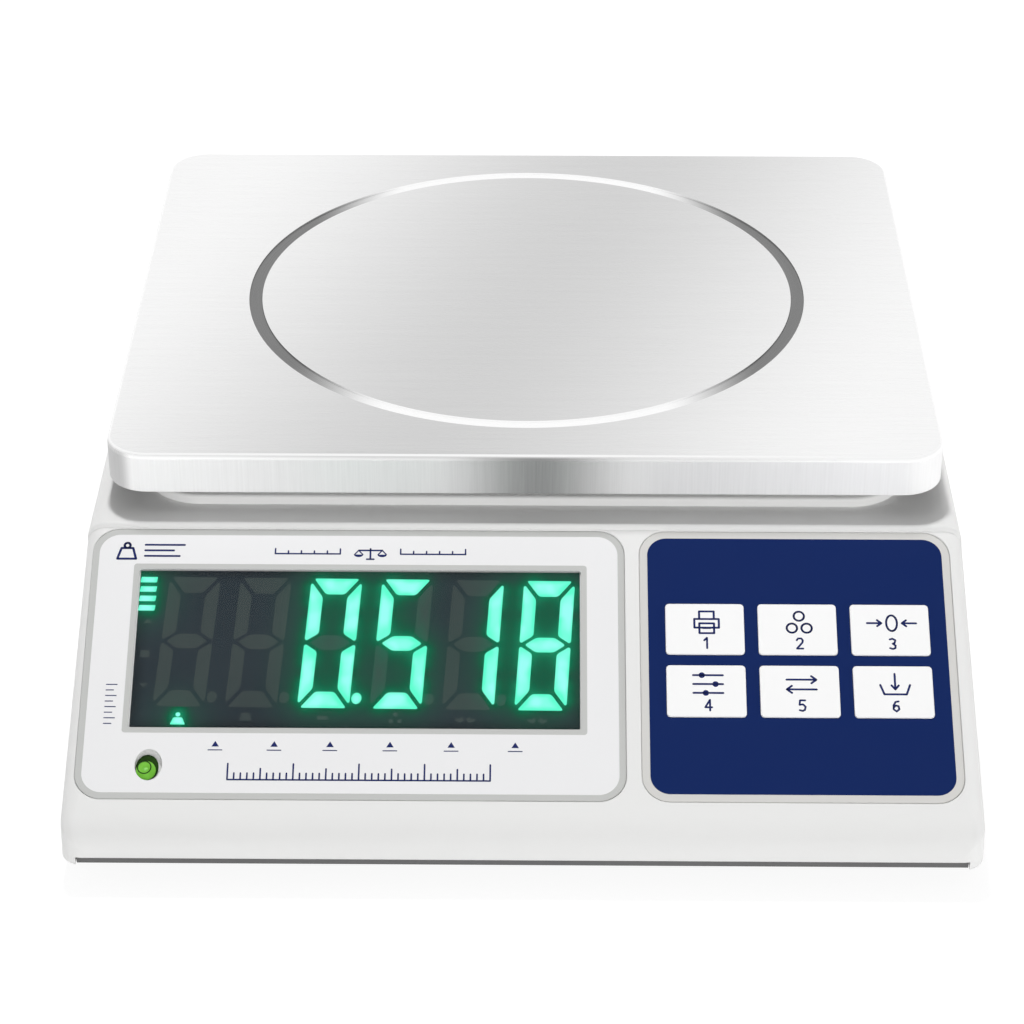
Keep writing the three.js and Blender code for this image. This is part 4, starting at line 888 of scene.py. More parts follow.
# Plates on the sloping panel
def plate(name, x, full_width, border, holes, edges):
    """A plate with a fine rim, its field (material 0) and a sunk printed band along its edge (material 1).
    Each hole has its own edge towards the field; a band is printed between them where they differ."""
    place = shifted(on_panel, x, PLATE_Y)
    width, length = full_width - 2 * SEAM, PLATE_LENGTH - 2 * SEAM

    def inset(away):
        return rounded_outline(width - 2 * away, length - 2 * away, PLATE_CORNER - away, 12)

    outer, brink, field = inset(0), inset(PLATE_RIM), inset(border)
    sunk = PLATE_FACE - BORDER_SINK
    rim = [raised(brink, PLATE_FACE), raised(outer, PLATE_FACE - PLATE_RIM), raised(outer, PLATE_BOTTOM)]
    band = [raised(brink, PLATE_FACE), raised(scaled(brink, BRINK_FOOT), sunk)]
    band += [raised(scaled(field, FIELD_FOOT), sunk), raised(field, PLATE_FACE)]
    shape = Shape()
    shape.loops(rim, place, 1, closed=False)
    shape.between([outer] + holes, PLATE_BOTTOM, place, 1)
    for hole, edge in zip(holes, edges):
        shape.prism(hole, PLATE_FACE, PLATE_BOTTOM, place, closed=False)
        if edge is not hole:
            shape.loops([raised(edge, PLATE_FACE), raised(hole, PLATE_FACE)], place, 1, closed=False)
    shape.loops(band, place, 1, closed=False)
    shape.between([field] + edges, PLATE_FACE, place)
    return shape.build(name)


def display_plate():
    def around_window(margin):
        outline = rounded_outline(WINDOW_WIDTH + 2 * margin, WINDOW_HEIGHT + 2 * margin, WINDOW_CORNER, 4)
        return moved(outline, WINDOW_X - LABEL_X, WINDOW_Y - PLATE_Y)

    window, window_edge = around_window(FIT_GAP), around_window(FIT_GAP + WINDOW_BORDER)
    sight = sight_outline(LEVEL_X - LABEL_X, -LEVEL_FROM_CREASE - PLATE_Y)
    return plate("label_plate", LABEL_X, LABEL_WIDTH, LABEL_BORDER, [window, sight], [window_edge, sight])


def keypad_plate():
    cell = rounded_outline(KEY_WIDTH + 2 * SEAM, KEY_HEIGHT + 2 * SEAM, KEY_CORNER + SEAM, 5)
    cells = [moved(cell, x - KEYPAD_X, y - PLATE_Y) for x, y in KEY_PLACES]
    return plate("keypad_plate", KEYPAD_X, KEYPAD_WIDTH, KEYPAD_BORDER, cells, cells)


label_films = [SLOT_MATERIALS["label_white"], LABEL_BAND]
keypad_films = [SLOT_MATERIALS["keypad_blue"], KEYPAD_BAND]
finished(display_plate(), "root", "label_white", ["display_label"], label_films, smooth=20)
finished(keypad_plate(), "root", "keypad_blue", ["keypad_label"], keypad_films, smooth=20)


# Display
DIGIT_PITCH = 23.38
DIGIT_WIDTH = 16.8
DIGIT_HEIGHT = 47.5
DIGIT_TOP = 22.7  # crease to the digits' upper edge
LAST_DIGIT_X = 0.1  # upper left corner of the sixth digit
DIGIT_LEAN = 0.062
BAR_THICK = 5.9  # level segments
POST_THICK = 4.4  # upright segments
POINT_X = 18.9  # decimal point from its digit's left side
POINT_Y = 43.9
READING = ["", "", "abcdef.", "acdfg", "bc", "abcdefg"]
GAUGE_AT = (-126.2, 22.8)  # upper left corner of the four small lit bars
GAUGE_PITCH = 3.5
LIT_SIGN_AT = (-111.2, 74.1)
FACE_HEIGHT = -0.92  # in the gap between the window and its ledge
SEGMENT_HEIGHT = -0.82
SEEN_SHIFT = 0.35  # how far lower the display's marks look because they lie under the window
DISPLAY_TURN = 0.007  # the module sits slightly turned behind its window
# The lit marks' green glow on the display around them is painted into its colour and emission
GLOW_NEAR, GLOW_NEAR_SHARE = 2.4, 0.15  # reach and strength of the painted glow close to a segment
GLOW_WIDE, GLOW_WIDE_SHARE = 9.0, 0.013
POINT_WIDTH = 3.3
POINT_OVAL = 1.25
LARGE_MARK = 8  # marks longer than this have a lamp at every third point of their outline


def segment_outlines():
    """The seven segments of an upright digit, x to the right and y down from its upper left corner."""
    w, h, bar, post = DIGIT_WIDTH, DIGIT_HEIGHT, BAR_THICK, POST_THICK
    top = [(0.9, 0), (w - 0.9, 0), (w - post - 0.9, bar), (post + 0.9, bar)]
    half = h / 2
    left_upper = [(0, 2.2), (0.6, 1.9), (post, bar + 1.1)]
    left_upper += [(post, half - 3.3), (0.6, half - 0.7), (0, half - 1.2)]
    middle = [(1.7, half), (post + 1.0, half - 2.7), (w - post - 1.0, half - 2.7)]
    middle += [(w - 1.7, half), (w - post - 1.0, half + 2.7), (post + 1.0, half + 2.7)]

    def flipped(points):
        return [(x, h - y) for x, y in points]

    right_upper = [(w - x, y) for x, y in left_upper]
    return {
        "a": top,
        "b": right_upper,
        "c": flipped(right_upper),
        "d": flipped(top),
        "e": flipped(left_upper),
        "f": left_upper,
        "g": middle,
    }


def on_display(outline):
    """The outline where it is seen through the window, across and down the slope from the crease."""
    return [(x, SEEN_SHIFT - down - DISPLAY_TURN * (x - WINDOW_X)) for x, down in outline]


def on_digit(index, outline):
    left = LAST_DIGIT_X - DIGIT_PITCH * (5 - index)
    return on_display([(left - DIGIT_LEAN * y + x, DIGIT_TOP + y) for x, y in outline])


def display_marks():
    """All marks of the display as (outline, lit)."""
    marks = []
    for index, lit in enumerate(READING):
        for name, outline in segment_outlines().items():
            marks.append((on_digit(index, rounded_corners(outline)), name in lit))
        if index < 5:
            point = oval(POINT_WIDTH, POINT_WIDTH * POINT_OVAL, POINT_X, POINT_Y, 20)
            marks.append((on_digit(index, point), "." in lit))
    for row in range(4):
        x, y = GAUGE_AT[0] - 0.05 * row, GAUGE_AT[1] + GAUGE_PITCH * row
        bar = moved([(0, 0), (5.4, 0), (5.1, 2.1), (-0.3, 2.1)], x, y)
        marks.append((on_display(rounded_corners(bar, 0.3)), True))
    weight = moved([(-1.4, 0), (1.4, 0), (2.5, 2.6), (-2.5, 2.6)], *LIT_SIGN_AT)
    marks.append((on_display(rounded_corners(weight, 0.5)), True))
    marks.append((on_display(moved(circle(1.6, 16), LIT_SIGN_AT[0], LIT_SIGN_AT[1] - 1)), True))
    return marks + [(on_display(outline), False) for outline in faint_marks()]


def faint_marks():
    """Small unlit marks: arrows down the left side and generic signs along the lower edge."""
    outlines = [moved([(-1.5, 0), (1.5, 0), (0, tip)], -123.1, y) for y, tip in ((40, -1.6), (62, 1.6))]
    outlines.append(moved([(-1.5, -1.3), (1.5, -1.3), (1.5, 1.3), (-1.5, 1.3)], -123.3, 51.3))
    outlines += [circle(1.5, 12, -41.1 + dx, 73.6 + dy) for dx, dy in ((-1.4, 1.0), (1.4, 1.0), (0, -1.4))]
    outlines.append(moved([(-1.4, 0), (1.4, 0), (2, 2.8), (-2, 2.8)], -89.4, 72.2))
    outlines.append(moved([(-1.8, -0.7), (1.8, -0.7), (1.8, 0.7), (-1.8, 0.7)], -64.6, 73.7))
    arrow = [(3.2, -0.4), (1.4, -0.4), (1.4, -1.4), (0.2, 0), (1.4, 1.2), (3.2, 0.4)]
    for x in (-18.6, 4.6):
        for side in (-1, 1):
            outlines.append(moved([(side * dx, dy) for dx, dy in arrow], x, 73.8))
    return outlines


def haze_field(marks):
    """The strength of the lit marks' painted glow as a function of a place on the display."""
    lamps = []
    for outline, lit in marks:
        if not lit:
            continue
        xs, ys = zip(*outline)
        large = max(max(xs) - min(xs), max(ys) - min(ys)) > LARGE_MARK
        for p in outline[:: 3 if large else 11]:
            lamps += [Vector(p).lerp(middle_of(outline), share) for share in (0.15, 0.6)]
    tree = KDTree(len(lamps))
    for i, lamp in enumerate(lamps):
        tree.insert((lamp.x, lamp.y, 0), i)
    tree.balance()

    def strength(x, y):
        near = sum(math.exp(-((away / GLOW_NEAR) ** 2)) for _, _, away in tree.find_n((x, y, 0), 12))
        wide = sum(math.exp(-((away / GLOW_WIDE) ** 2)) for _, _, away in tree.find_range((x, y, 0), 22))
        return min(1.0, GLOW_NEAR_SHARE * near + GLOW_WIDE_SHARE * wide)

    return strength


def glowing(name, core, edge, strength):
    """A lit segment: paler and brighter along its middle than at its rim."""
    nodes = new_material(name, Base_Color=(0.02, 0.2, 0.12, 1), Roughness=0.5, Emission_Strength=strength)
    uneven = nodes.range(nodes.noise(130, 1), 0.35, 0.65, -0.3, 0.3)
    inputs = {0: nodes.attribute("core"), 1: uneven}
    pale = nodes.node("ShaderNodeMath", inputs, operation="ADD", use_clamp=True).outputs[0]
    nodes.link(nodes.mix(pale, edge, core), "Emission Color")
    return nodes.owner


def glow_painted(name, low, high, hidden):
    """A dark surface with a painted green glow from the lit segments; hidden is its colour under the painted
    glow.
    """
    nodes = new_material(name, Roughness=0.6, Specular_IOR_Level=0.0, Emission_Strength=1.0)
    mottle = nodes.range(nodes.noise(30, 3), 0.3, 0.7)
    glow = nodes.attribute("haze")
    # Painted shade: towards the display's edge the colour goes to a dark grey
    plain = nodes.mix(nodes.attribute("depth"), colour(36, 40, 44), nodes.mix(mottle, low, high))
    nodes.link(nodes.mix(nodes.range(glow, 0.0, 0.3), plain, hidden), "Base Color")
    # painted glow: the surface's emission rises with the glow field
    nodes.link(nodes.mix(glow, (0, 0, 0, 1), (0.0, 0.41, 0.175, 1)), "Emission Color")
    return nodes.owner


def display_piece(name, shape, material, **fields):
    """A piece of the display, with a value at each point for each field that its material reads."""
    piece = shape.build(name, weld=False)
    for field, values in fields.items():
        layer = piece.data.attributes.new(field, "FLOAT", "POINT")
        layer.data.foreach_set("value", values)
    finished(piece, "root", "led_black", materials=[material], smooth=0)


def lit_segments(outlines):
    """The lit marks, each a low pillow."""
    shape, core = Shape(), []
    for outline in outlines:
        around = len(outline)
        points = raised([tuple(middle_of(outline))] + drawn_in(outline, 0.5), SEGMENT_HEIGHT)
        points += raised(outline, SEGMENT_HEIGHT - 0.02)
        faces = fan_faces(around)
        for i in range(around):
            after = (i + 1) % around
            faces.append([1 + i, 1 + around + i, 1 + around + after, 1 + after])
        shape.add([on_panel(*p) for p in points], faces)
        core += [1.0] + [0.8] * around + [0.0] * around
    material = glowing("lit segment", colour(150, 255, 238), colour(84, 246, 198), 1.3)
    display_piece("lit_segments", shape, material, core=core)


def unlit_segments(outlines, strength):
    shape, haze = Shape(), []
    for outline in outlines:
        points = [tuple(middle_of(outline))] + outline
        shape.add([on_panel(x, y, SEGMENT_HEIGHT - 0.04) for x, y in points], fan_faces(len(outline)))
        # the unlit marks carry part of the painted glow
        haze += [strength(x, y) * 0.6 for x, y in points]
    material = glow_painted("unlit segment", colour(75, 86, 86), colour(80, 91, 90), colour(44, 82, 72))
    display_piece("unlit_segments", shape, material, haze=haze, depth=[1.0] * len(haze))


def display_face(strength):
    """A fine grid over the display that carries the painted glow of the lit marks and painted shade towards
    its edge.
    """
    width, height = WINDOW_WIDTH - 0.2, WINDOW_HEIGHT - 0.2
    across, down = 150, 60
    points, haze, depth = [], [], []
    for j in range(down + 1):
        for i in range(across + 1):
            x = WINDOW_X + width * (i / across - 0.5)
            y = WINDOW_Y + height * (j / down - 0.5)
            points.append(on_panel(x, y, FACE_HEIGHT))
            haze.append(strength(x, y))
            # painted shade near the edge: the value falls from 1 to 0.2 over the last 4 mm
            from_edge = min(width / 2 - abs(x - WINDOW_X), height / 2 - abs(y - WINDOW_Y))
            depth.append(min(1.0, 0.2 + from_edge / 5))
    shape = Shape().add(points, grid_faces(across + 1, down + 1))
    material = glow_painted("hazy display face", colour(53, 64, 71), colour(57, 68, 75), colour(8, 38, 30))
    display_piece("display_face", shape, material, haze=haze, depth=depth)


all_marks = display_marks()
display_haze = haze_field(all_marks)
display_face(display_haze)
unlit_segments([outline for outline, lit in all_marks if not lit], display_haze)
lit_segments([outline for outline, lit in all_marks if lit])


# Printed marks
PRINT_LIFT = 0.02
ARROW_SPREAD = 0.8
TITLE_AT = (-50.9, -13.3)
TITLE_LINE = (10, 31.5)  # each line's ends, from the sign's middle
MARK_AT = (-131.6, -12.4)
MARK_LINES_AT = (-125.6, -10.2)
POINTER_COLUMNS = (-98.5, -79.6, -61.7, -42.5, -22.9, -2.4)
POINTER_Y = -84.0
RULER_AT = (-94.1, -95.6)
RULER_LENGTH = 83.8
RULER_TICKS = 40
SIDE_TICKS_AT = (-134.9, -62.0)
KEY_SIGN_AT = (-0.4, 2.4)
KEY_SIGN_SIZE = 8.0
NUMERAL_AT = (-0.4, -5.2)
NUMERAL_SIZE = (1.8, 1.9)


class Print:
    """Strokes and filled outlines printed on a face, around a spot and in units of a size that at() sets.
    Line widths are always in millimetres."""

    def __init__(self, name, place, height):
        self.name = name
        self.place = place
        self.height = height + PRINT_LIFT
        self.shape = Shape()
        self.at((0, 0), 1, 0.5)

    def at(self, spot, size, width):
        self.spot = spot
        self.size = size
        self.width = width
        return self

    def face(self, outline):
        self.shape.add([self.place(x, y, self.height) for x, y in outline], [list(range(len(outline)))])

    def fill(self, outline):
        self.face(moved(scaled(outline, self.size), *self.spot))

    def stroke(self, points, thin=1.0, closed=False):
        ends = moved(scaled(points + points[:1] if closed else points, self.size), *self.spot)
        width = self.width * thin
        for (x0, y0), (x1, y1) in zip(ends, ends[1:]):
            length = math.hypot(x1 - x0, y1 - y0)
            nx, ny = -(y1 - y0) / length * width / 2, (x1 - x0) / length * width / 2
            self.face([(x0 + nx, y0 + ny), (x0 - nx, y0 - ny), (x1 - nx, y1 - ny), (x1 + nx, y1 + ny)])
        for x, y in ends:
            self.face(circle(width, 10, x, y))
        return self

    def ring(self, x, y, diameter):
        return self.stroke(circle(diameter, 28, x, y), closed=True)

    def arrow(self, x0, y0, x1, y1, head):
        self.stroke([(x0, y0), (x1, y1)])
        length = math.hypot(x1 - x0, y1 - y0)
        ux, uy = (x1 - x0) / length, (y1 - y0) / length
        sides = (ARROW_SPREAD, -ARROW_SPREAD)
        tips = [(x1 - head * (ux + side * uy), y1 - head * (uy - side * ux)) for side in sides]
        self.stroke([tips[0], (x1, y1), tips[1]])

    def done(self, body, slot, ink=NAVY_INK):
        finished(self.shape.build(self.name, weld=False), body, slot, materials=[ink], smooth=0)


def weight_sign(marks):
    """A pan weight: a trapezoid with a ring on it."""
    marks.stroke([(-0.31, 0.15), (0.31, 0.15), (0.5, -0.5), (-0.5, -0.5)], closed=True)
    marks.ring(0, 0.31, 0.31)


def scale_sign(marks):
    """A beam balance: a post with a beam and two pans."""
    marks.stroke([(0, -0.5), (0, 0.5)])
    marks.stroke([(-0.3, -0.5), (0.3, -0.5)])
    marks.stroke([(-1, 0.35), (1, 0.35)])
    for side in (-1, 1):
        for cord in (-0.35, 0.35):
            marks.stroke([(side, 0.35), (side + cord, -0.05)], thin=0.7)
        turns = [math.pi + math.pi * k / 8 for k in range(9)]
        marks.fill([(side + 0.4 * math.cos(a), -0.05 + 0.25 * math.sin(a)) for a in turns])


def print_sign(marks):
    """A printer with a sheet above and a printed sheet below."""
    marks.stroke([(-0.3, 0.15), (-0.3, 0.5), (0.3, 0.5), (0.3, 0.15)])
    marks.stroke([(-0.5, 0.15), (0.5, 0.15), (0.5, -0.25), (-0.5, -0.25)], closed=True)
    marks.stroke([(-0.3, -0.05), (0.3, -0.05), (0.3, -0.5), (-0.3, -0.5)], closed=True)
    marks.stroke([(-0.15, -0.275), (0.15, -0.275)], thin=0.8)


def count_sign(marks):
    """Three pieces in a heap."""
    for x, y in ((-0.3, -0.25), (0.3, -0.25), (0, 0.3)):
        marks.ring(x, y, 0.42)


def zero_sign(marks):
    """Two arrows pointing at a nought."""
    marks.stroke(oval(0.44, 0.72, steps=24), closed=True)
    for side in (-1, 1):
        marks.arrow(side, 0, side * 0.42, 0, 0.17)


def function_sign(marks):
    """Three sliders."""
    for row, knob in ((0.4, -0.25), (0, 0.3), (-0.4, -0.1)):
        marks.stroke([(-0.6, row), (0.6, row)])
        marks.fill(circle(0.26, 16, knob, row))


def unit_sign(marks):
    """Two opposite arrows, for changing over."""
    for side in (-1, 1):
        marks.arrow(-0.6 * side, 0.22 * side, 0.6 * side, 0.22 * side, 0.2)


def tare_sign(marks):
    """An arrow pointing down into an open tray."""
    marks.stroke([(-0.6, 0), (-0.45, -0.42), (0.45, -0.42), (0.6, 0)])
    marks.arrow(0, 0.5, 0, -0.2, 0.18)


def ruler(marks):
    marks.at(RULER_AT, 1, 0.55).stroke([(0, 0), (RULER_LENGTH, 0)])
    for step in range(RULER_TICKS + 1):
        x = RULER_LENGTH * step / RULER_TICKS
        marks.stroke([(x, 0), (x, 5.6 if step % 10 == 0 else 3.9 if step % 5 == 0 else 2.3)])


def label_print():
    """The label's marks: title line, small mark with lines, pointers under the window and two scales."""
    marks = Print("label_print", on_panel, PLATE_FACE)
    scale_sign(marks.at(TITLE_AT, 3.9, 0.6))
    for side in (-1, 1):
        near, far = [side * end for end in TITLE_LINE]
        marks.at(TITLE_AT, 1, 0.55).stroke([(near, 0), (far, 0)])
        marks.at(TITLE_AT, 1, 0.5)
        for step in range(6):
            x = near + (far - near) * step / 5
            marks.stroke([(x, 0), (x, 1.9 if step % 5 == 0 else 1.1)])
    weight_sign(marks.at(MARK_AT, 6.2, 0.8))
    marks.at(MARK_LINES_AT, 1, 0.7)
    for row, length in enumerate((13, 9.5, 11.5)):
        marks.stroke([(0, -2.1 * row), (length, -2.1 * row)])
    for x in POINTER_COLUMNS:
        marks.at((x, POINTER_Y), 1, 0.35)
        marks.fill([(-1.2, 0), (1.2, 0), (0, 2)])
        marks.stroke([(-2.2, -1.2), (2.2, -1.2)])
    ruler(marks)
    marks.at(SIDE_TICKS_AT, 1, 0.35)
    for step in range(8):
        marks.stroke([(0, -2.0 * step), (2.4 if step % 2 else 3.4, -2.0 * step)])
    marks.done("root", "label_white")


label_print()

# Keys
KEYS = {
    "print_key": print_sign,
    "count_key": count_sign,
    "zero_key": zero_sign,
    "function_key": function_sign,
    "unit_key": unit_sign,
    "tare_key": tare_sign,
}
NUMERALS = [
    [(-0.5, 0.5), (0, 1), (0, -1)],
    [(-0.55, 0.6), (-0.3, 0.95), (0.3, 0.95), (0.55, 0.55), (0.45, 0.15), (-0.55, -1), (0.55, -1)],
    [(-0.5, 0.85), (0, 1), (0.5, 0.7), (0.35, 0.15), (0, 0.05),
     (0.5, -0.3), (0.45, -0.8), (0, -1), (-0.5, -0.8)],
    [(0.25, -1), (0.25, 1), (-0.6, -0.4), (0.6, -0.4)],
    [(0.5, 1), (-0.4, 1), (-0.5, 0.15), (0.1, 0.25), (0.55, -0.2), (0.4, -0.8), (0, -1), (-0.5, -0.85)],
    [(0.45, 0.9), (-0.1, 0.8), (-0.5, 0.1), (-0.5, -0.6), (0, -1),
     (0.5, -0.6), (0.4, 0), (-0.1, 0.12), (-0.5, -0.3)],
]


def key_cap(x, y, name):
    stop = -WALL - FIT_GAP
    place = shifted(on_panel, x, y)
    levels = arc_levels(0, KEY_PROUD, KEY_ROUNDING, 4)
    levels += [(0, stop), (-KEY_FLANGE, stop), (-KEY_FLANGE, stop - KEY_FLANGE)]
    cap = Shape().skin(KEY_WIDTH, KEY_HEIGHT, KEY_CORNER, levels, place, 6)
    cap.lathe([(KEY_STEM / 2, stop - KEY_FLANGE / 2), (KEY_STEM / 2, stop - 2 * KEY_FLANGE)], place, 24)
    finished(cap.build(name.replace("key", "cap")), name, "key_white", [name], smooth=40)


def key_print(x, y, name, draw_sign, numeral):
    marks = Print(name + "_sign", shifted(on_panel, x + 1.0, y), KEY_PROUD)
    draw_sign(marks.at(KEY_SIGN_AT, KEY_SIGN_SIZE, 0.7))
    across, up = NUMERAL_SIZE
    marks.at(NUMERAL_AT, 1, 0.65).stroke([(across * px, up * py) for px, py in numeral])
    marks.done(name, "key_white")


for (x, y), (name, draw_sign), numeral in zip(KEY_PLACES, KEYS.items(), NUMERALS):
    key_cap(x, y, name)
    key_print(x, y, name, draw_sign, numeral)


# Level
def green_liquid(name, low, high, glow):
    """Green liquid behind clear acrylic, with a painted glow in its emission."""
    nodes = new_material(name, Roughness=0.3, Emission_Strength=glow, Specular_IOR_Level=0.1)
    tone = nodes.mix(nodes.range(nodes.noise(300, 3), 0.3, 0.7), low, high)
    nodes.link(tone, "Base Color")
    nodes.link(tone, "Emission Color")
    nodes.bump(nodes.noise(700, 2), 0.000005)
    return nodes.owner


def air_bubble():
    # painted glow in the bubble's emission
    nodes = new_material("air bubble", Roughness=0.08, Emission_Strength=0.3, Coat_Weight=1.0)
    swirl = nodes.range(nodes.noise(900, 2), 0.35, 0.65)
    nodes.link(nodes.mix(swirl, colour(150, 220, 96), colour(104, 180, 60)), "Base Color")
    nodes.link(nodes.mix(swirl, colour(120, 200, 60), colour(70, 140, 34)), "Emission Color")
    nodes.bump(nodes.noise(700, 2), 0.000003)
    return nodes.owner


def level_disc(name, outline, top, bottom, material, rim=0.25):
    """A disc under the sight hole whose top is lightly domed."""
    steps = ((0.5, top + rim * 0.4), (0.85, top + rim * 0.2), (1.0, top - rim * 0.4), (1.0, bottom))
    rings = [raised(drawn_in(outline, share), z) for share, z in steps]
    disc = Shape().loops(rings, shifted(on_panel, LEVEL_X, -LEVEL_FROM_CREASE))
    finished(disc.build(name), "root", "level_green", materials=[material], smooth=50)


def level_pieces():
    """The vial under its sight hole: a dark body of the liquid in painted shade, the liquid's face with a
    painted glow, a ring and a bubble.
    An oval's width and length are followed by its middle's place, seen from the sight hole's."""
    radius, chamfer = VIAL_DIAMETER / 2, 0.3
    profile = [
        (radius - chamfer, VIAL_TOP),
        (radius, VIAL_TOP - chamfer),
        (radius, VIAL_BOTTOM + chamfer),
        (radius - chamfer, VIAL_BOTTOM),
    ]
    vial = Shape().lathe(profile, shifted(upright, LEVEL_X, LEVEL_Y)).build("vial_body")
    # The same liquid twice: a darker copy as painted shade and a brighter copy, each with a painted glow
    shade_painted = green_liquid("deep level liquid", colour(24, 50, 10), colour(33, 62, 14), 0.1)
    bright = green_liquid("bright level liquid", colour(102, 168, 54), colour(114, 182, 66), 0.22)
    finished(vial, "root", "level_green", ["level_vial"], [shade_painted], smooth=40)
    level_disc("level_body", oval(7.3, 8.8, -0.5, -0.25), -1.7, -SIGHT_DEPTH - 0.2, shade_painted)
    level_disc("level_face", oval(6.3, 6.6, -0.8, -1.55), -1.2, -1.6, bright)
    ring_x, ring_y = -1.35, -0.55
    widths = (BUBBLE_RING + BUBBLE_LINE, BUBBLE_RING - BUBBLE_LINE)
    rings = [raised(oval(width, width, ring_x, ring_y), -1.06) for width in widths]
    ring = Shape().loops(rings, shifted(on_panel, LEVEL_X, -LEVEL_FROM_CREASE), closed=False)
    finished(ring.build("level_ring", weld=False), "root", "level_green", materials=[DARK_INK], smooth=0)
    level_disc("level_bubble", oval(1.5, 1.3, ring_x + 0.5, ring_y - 0.6), -1.05, -1.15, air_bubble(), 0.12)


level_pieces()

# Rear connectors
ROCKER_RADIUS = 7.2
ROCKER_CROWN = 2.6
ROCKER_TILT = math.radians(10)
SWITCH_BEZEL = 1.8
PORT_WIDTH = 13.8
PORT_HEIGHT = 5.1
PORT_LEAN = 1.2
PORT_FLOOR = 1
PORT_FACE = 4.05
CONTACT_PITCH = 2.5
CONTACT_ROWS = 2.4
JACK_PIN = 2.2


def rocker_face(side):
    """The frame of the rocker's face on one side of its pin, x along the face, y up and z outwards."""
    out, height = side * ROCKER_RADIUS / 2, ROCKER_CROWN - ROCKER_RADIUS / 2 * math.tan(ROCKER_TILT)
    cos, sin = math.cos(ROCKER_TILT), math.sin(ROCKER_TILT)
    middle_x = BAY_X - BAY_SPACING + out * cos - height * sin
    middle_y = BAY_FLOOR + SWITCH_BEZEL - ROCKER_CROWN / 2 + out * sin + height * cos
    turn = ROCKER_TILT * (1 + side)
    return lambda x, y, z: (
        middle_x + x * math.cos(turn) - z * math.sin(turn),
        middle_y + x * math.sin(turn) + z * math.cos(turn),
        BAY_Z + y,
    )


def rocker_marks():
    on_sign = Print("rocker_on_sign", rocker_face(-1), 0.03).at((0, 0), 1, 0.7)
    on_sign.stroke([(0, -1.7), (0, 1.7)]).done("power_rocker", "key_white", WHITE_INK)
    off_sign = Print("rocker_off_sign", rocker_face(1), 0.03).at((0, 0), 1, 0.65)
    off_sign.ring(0, 0, 3.2).done("power_rocker", "key_white", WHITE_INK)


def port_contacts():
    """The black block in the serial port with its nine contacts, five over four."""
    half_x, half_y = PORT_WIDTH / 2, PORT_HEIGHT / 2
    narrow = half_x - PORT_LEAN
    outline = [(half_x, half_y), (-half_x, half_y), (-narrow, -half_y), (narrow, -half_y)]
    block = Shape().prism(rounded_corners(outline, 0.8, 4), PORT_FACE, PORT_FLOOR, facing_rear)
    finished(block.build("port_block"), "root", "black_plastic")
    pin = [(0.2, PORT_FACE + 0.12), (0.5, PORT_FACE + 0.3), (0.6, PORT_FACE - 0.2)]
    contacts = Shape()
    for count, y in ((5, CONTACT_ROWS / 2), (4, -CONTACT_ROWS / 2)):
        for k in range(count):
            contacts.lathe(pin, shifted(facing_rear, (k - (count - 1) / 2) * CONTACT_PITCH, y), 16)
    finished(contacts.build("port_contacts"), "root", "zinc_steel", materials=[BRASS])


def jack_contact():
    radius = JACK_PIN / 2
    profile = [(radius - 0.4, 0.3), (radius, -0.1), (radius, -4)]
    pin = Shape().lathe(profile, shifted(facing_rear, -BAY_SPACING, 0), 24)
    finished(pin.build("jack_contact"), "root", "zinc_steel", materials=[BRASS])


rocker_marks()
port_contacts()
jack_contact()

# Feet
SOLE_DIAMETER = 24
SOLE_HEIGHT = 3
SOLE_SOCKET = 8.6
SCREW_NECK = 7.8
WHEEL_DIAMETER = 21
WHEEL_HEIGHT = 4
WHEEL_GROOVE = 0.35
WHEEL_RIDGES = 36
STUD_DIAMETER = 8
STUD_TOP = 21  # over the floor
THREAD_PITCH = 1.25
THREAD_DEPTHS = (0.0, 0.3, 0.55, 0.3)  # at each quarter of the pitch
FOOT_X, FOOT_Y = 103, 145
FOOT_SIDES = {"front_left": (-1, -1), "front_right": (1, -1), "rear_left": (-1, 1), "rear_right": (1, 1)}
# Distance in from the rim and height over the floor, from the top around to the underside
SOLE_PROFILE = (
    (1.6, SOLE_HEIGHT),
    (0.7, SOLE_HEIGHT - 0.3),
    (0.2, SOLE_HEIGHT - 1.0),
    (0, 0.8),
    (0.5, 0.2),
    (1.2, 0),
    (3.0, 0),
    (3.3, 0.5),
    (5.0, 0.5),
    (5.3, 0),
)


def foot_sole(name, place):
    radius = SOLE_DIAMETER / 2
    rim = [(radius - away, z) for away, z in SOLE_PROFILE]
    sole = Shape().lathe([(SOLE_SOCKET / 2, SOLE_HEIGHT)] + rim + [(1.0, 0)], place, 56)
    body = "foot_sole_" + name
    finished(sole.build("rubber_foot_" + name), body, "rubber", [body], smooth=35)


def wheel_ring(z, inset):
    """One level of the ribbed hand wheel; the grooves end short of its flat faces."""
    steps = 4 * WHEEL_RIDGES
    ring = []
    for k in range(steps):
        angle = 2 * math.pi * k / steps
        groove = WHEEL_GROOVE * (0.5 - 0.5 * math.cos(WHEEL_RIDGES * angle)) if inset < 0.6 else 0.0
        reach = WHEEL_DIAMETER / 2 - inset - groove
        ring.append((reach * math.cos(angle), reach * math.sin(angle), z))
    return ring


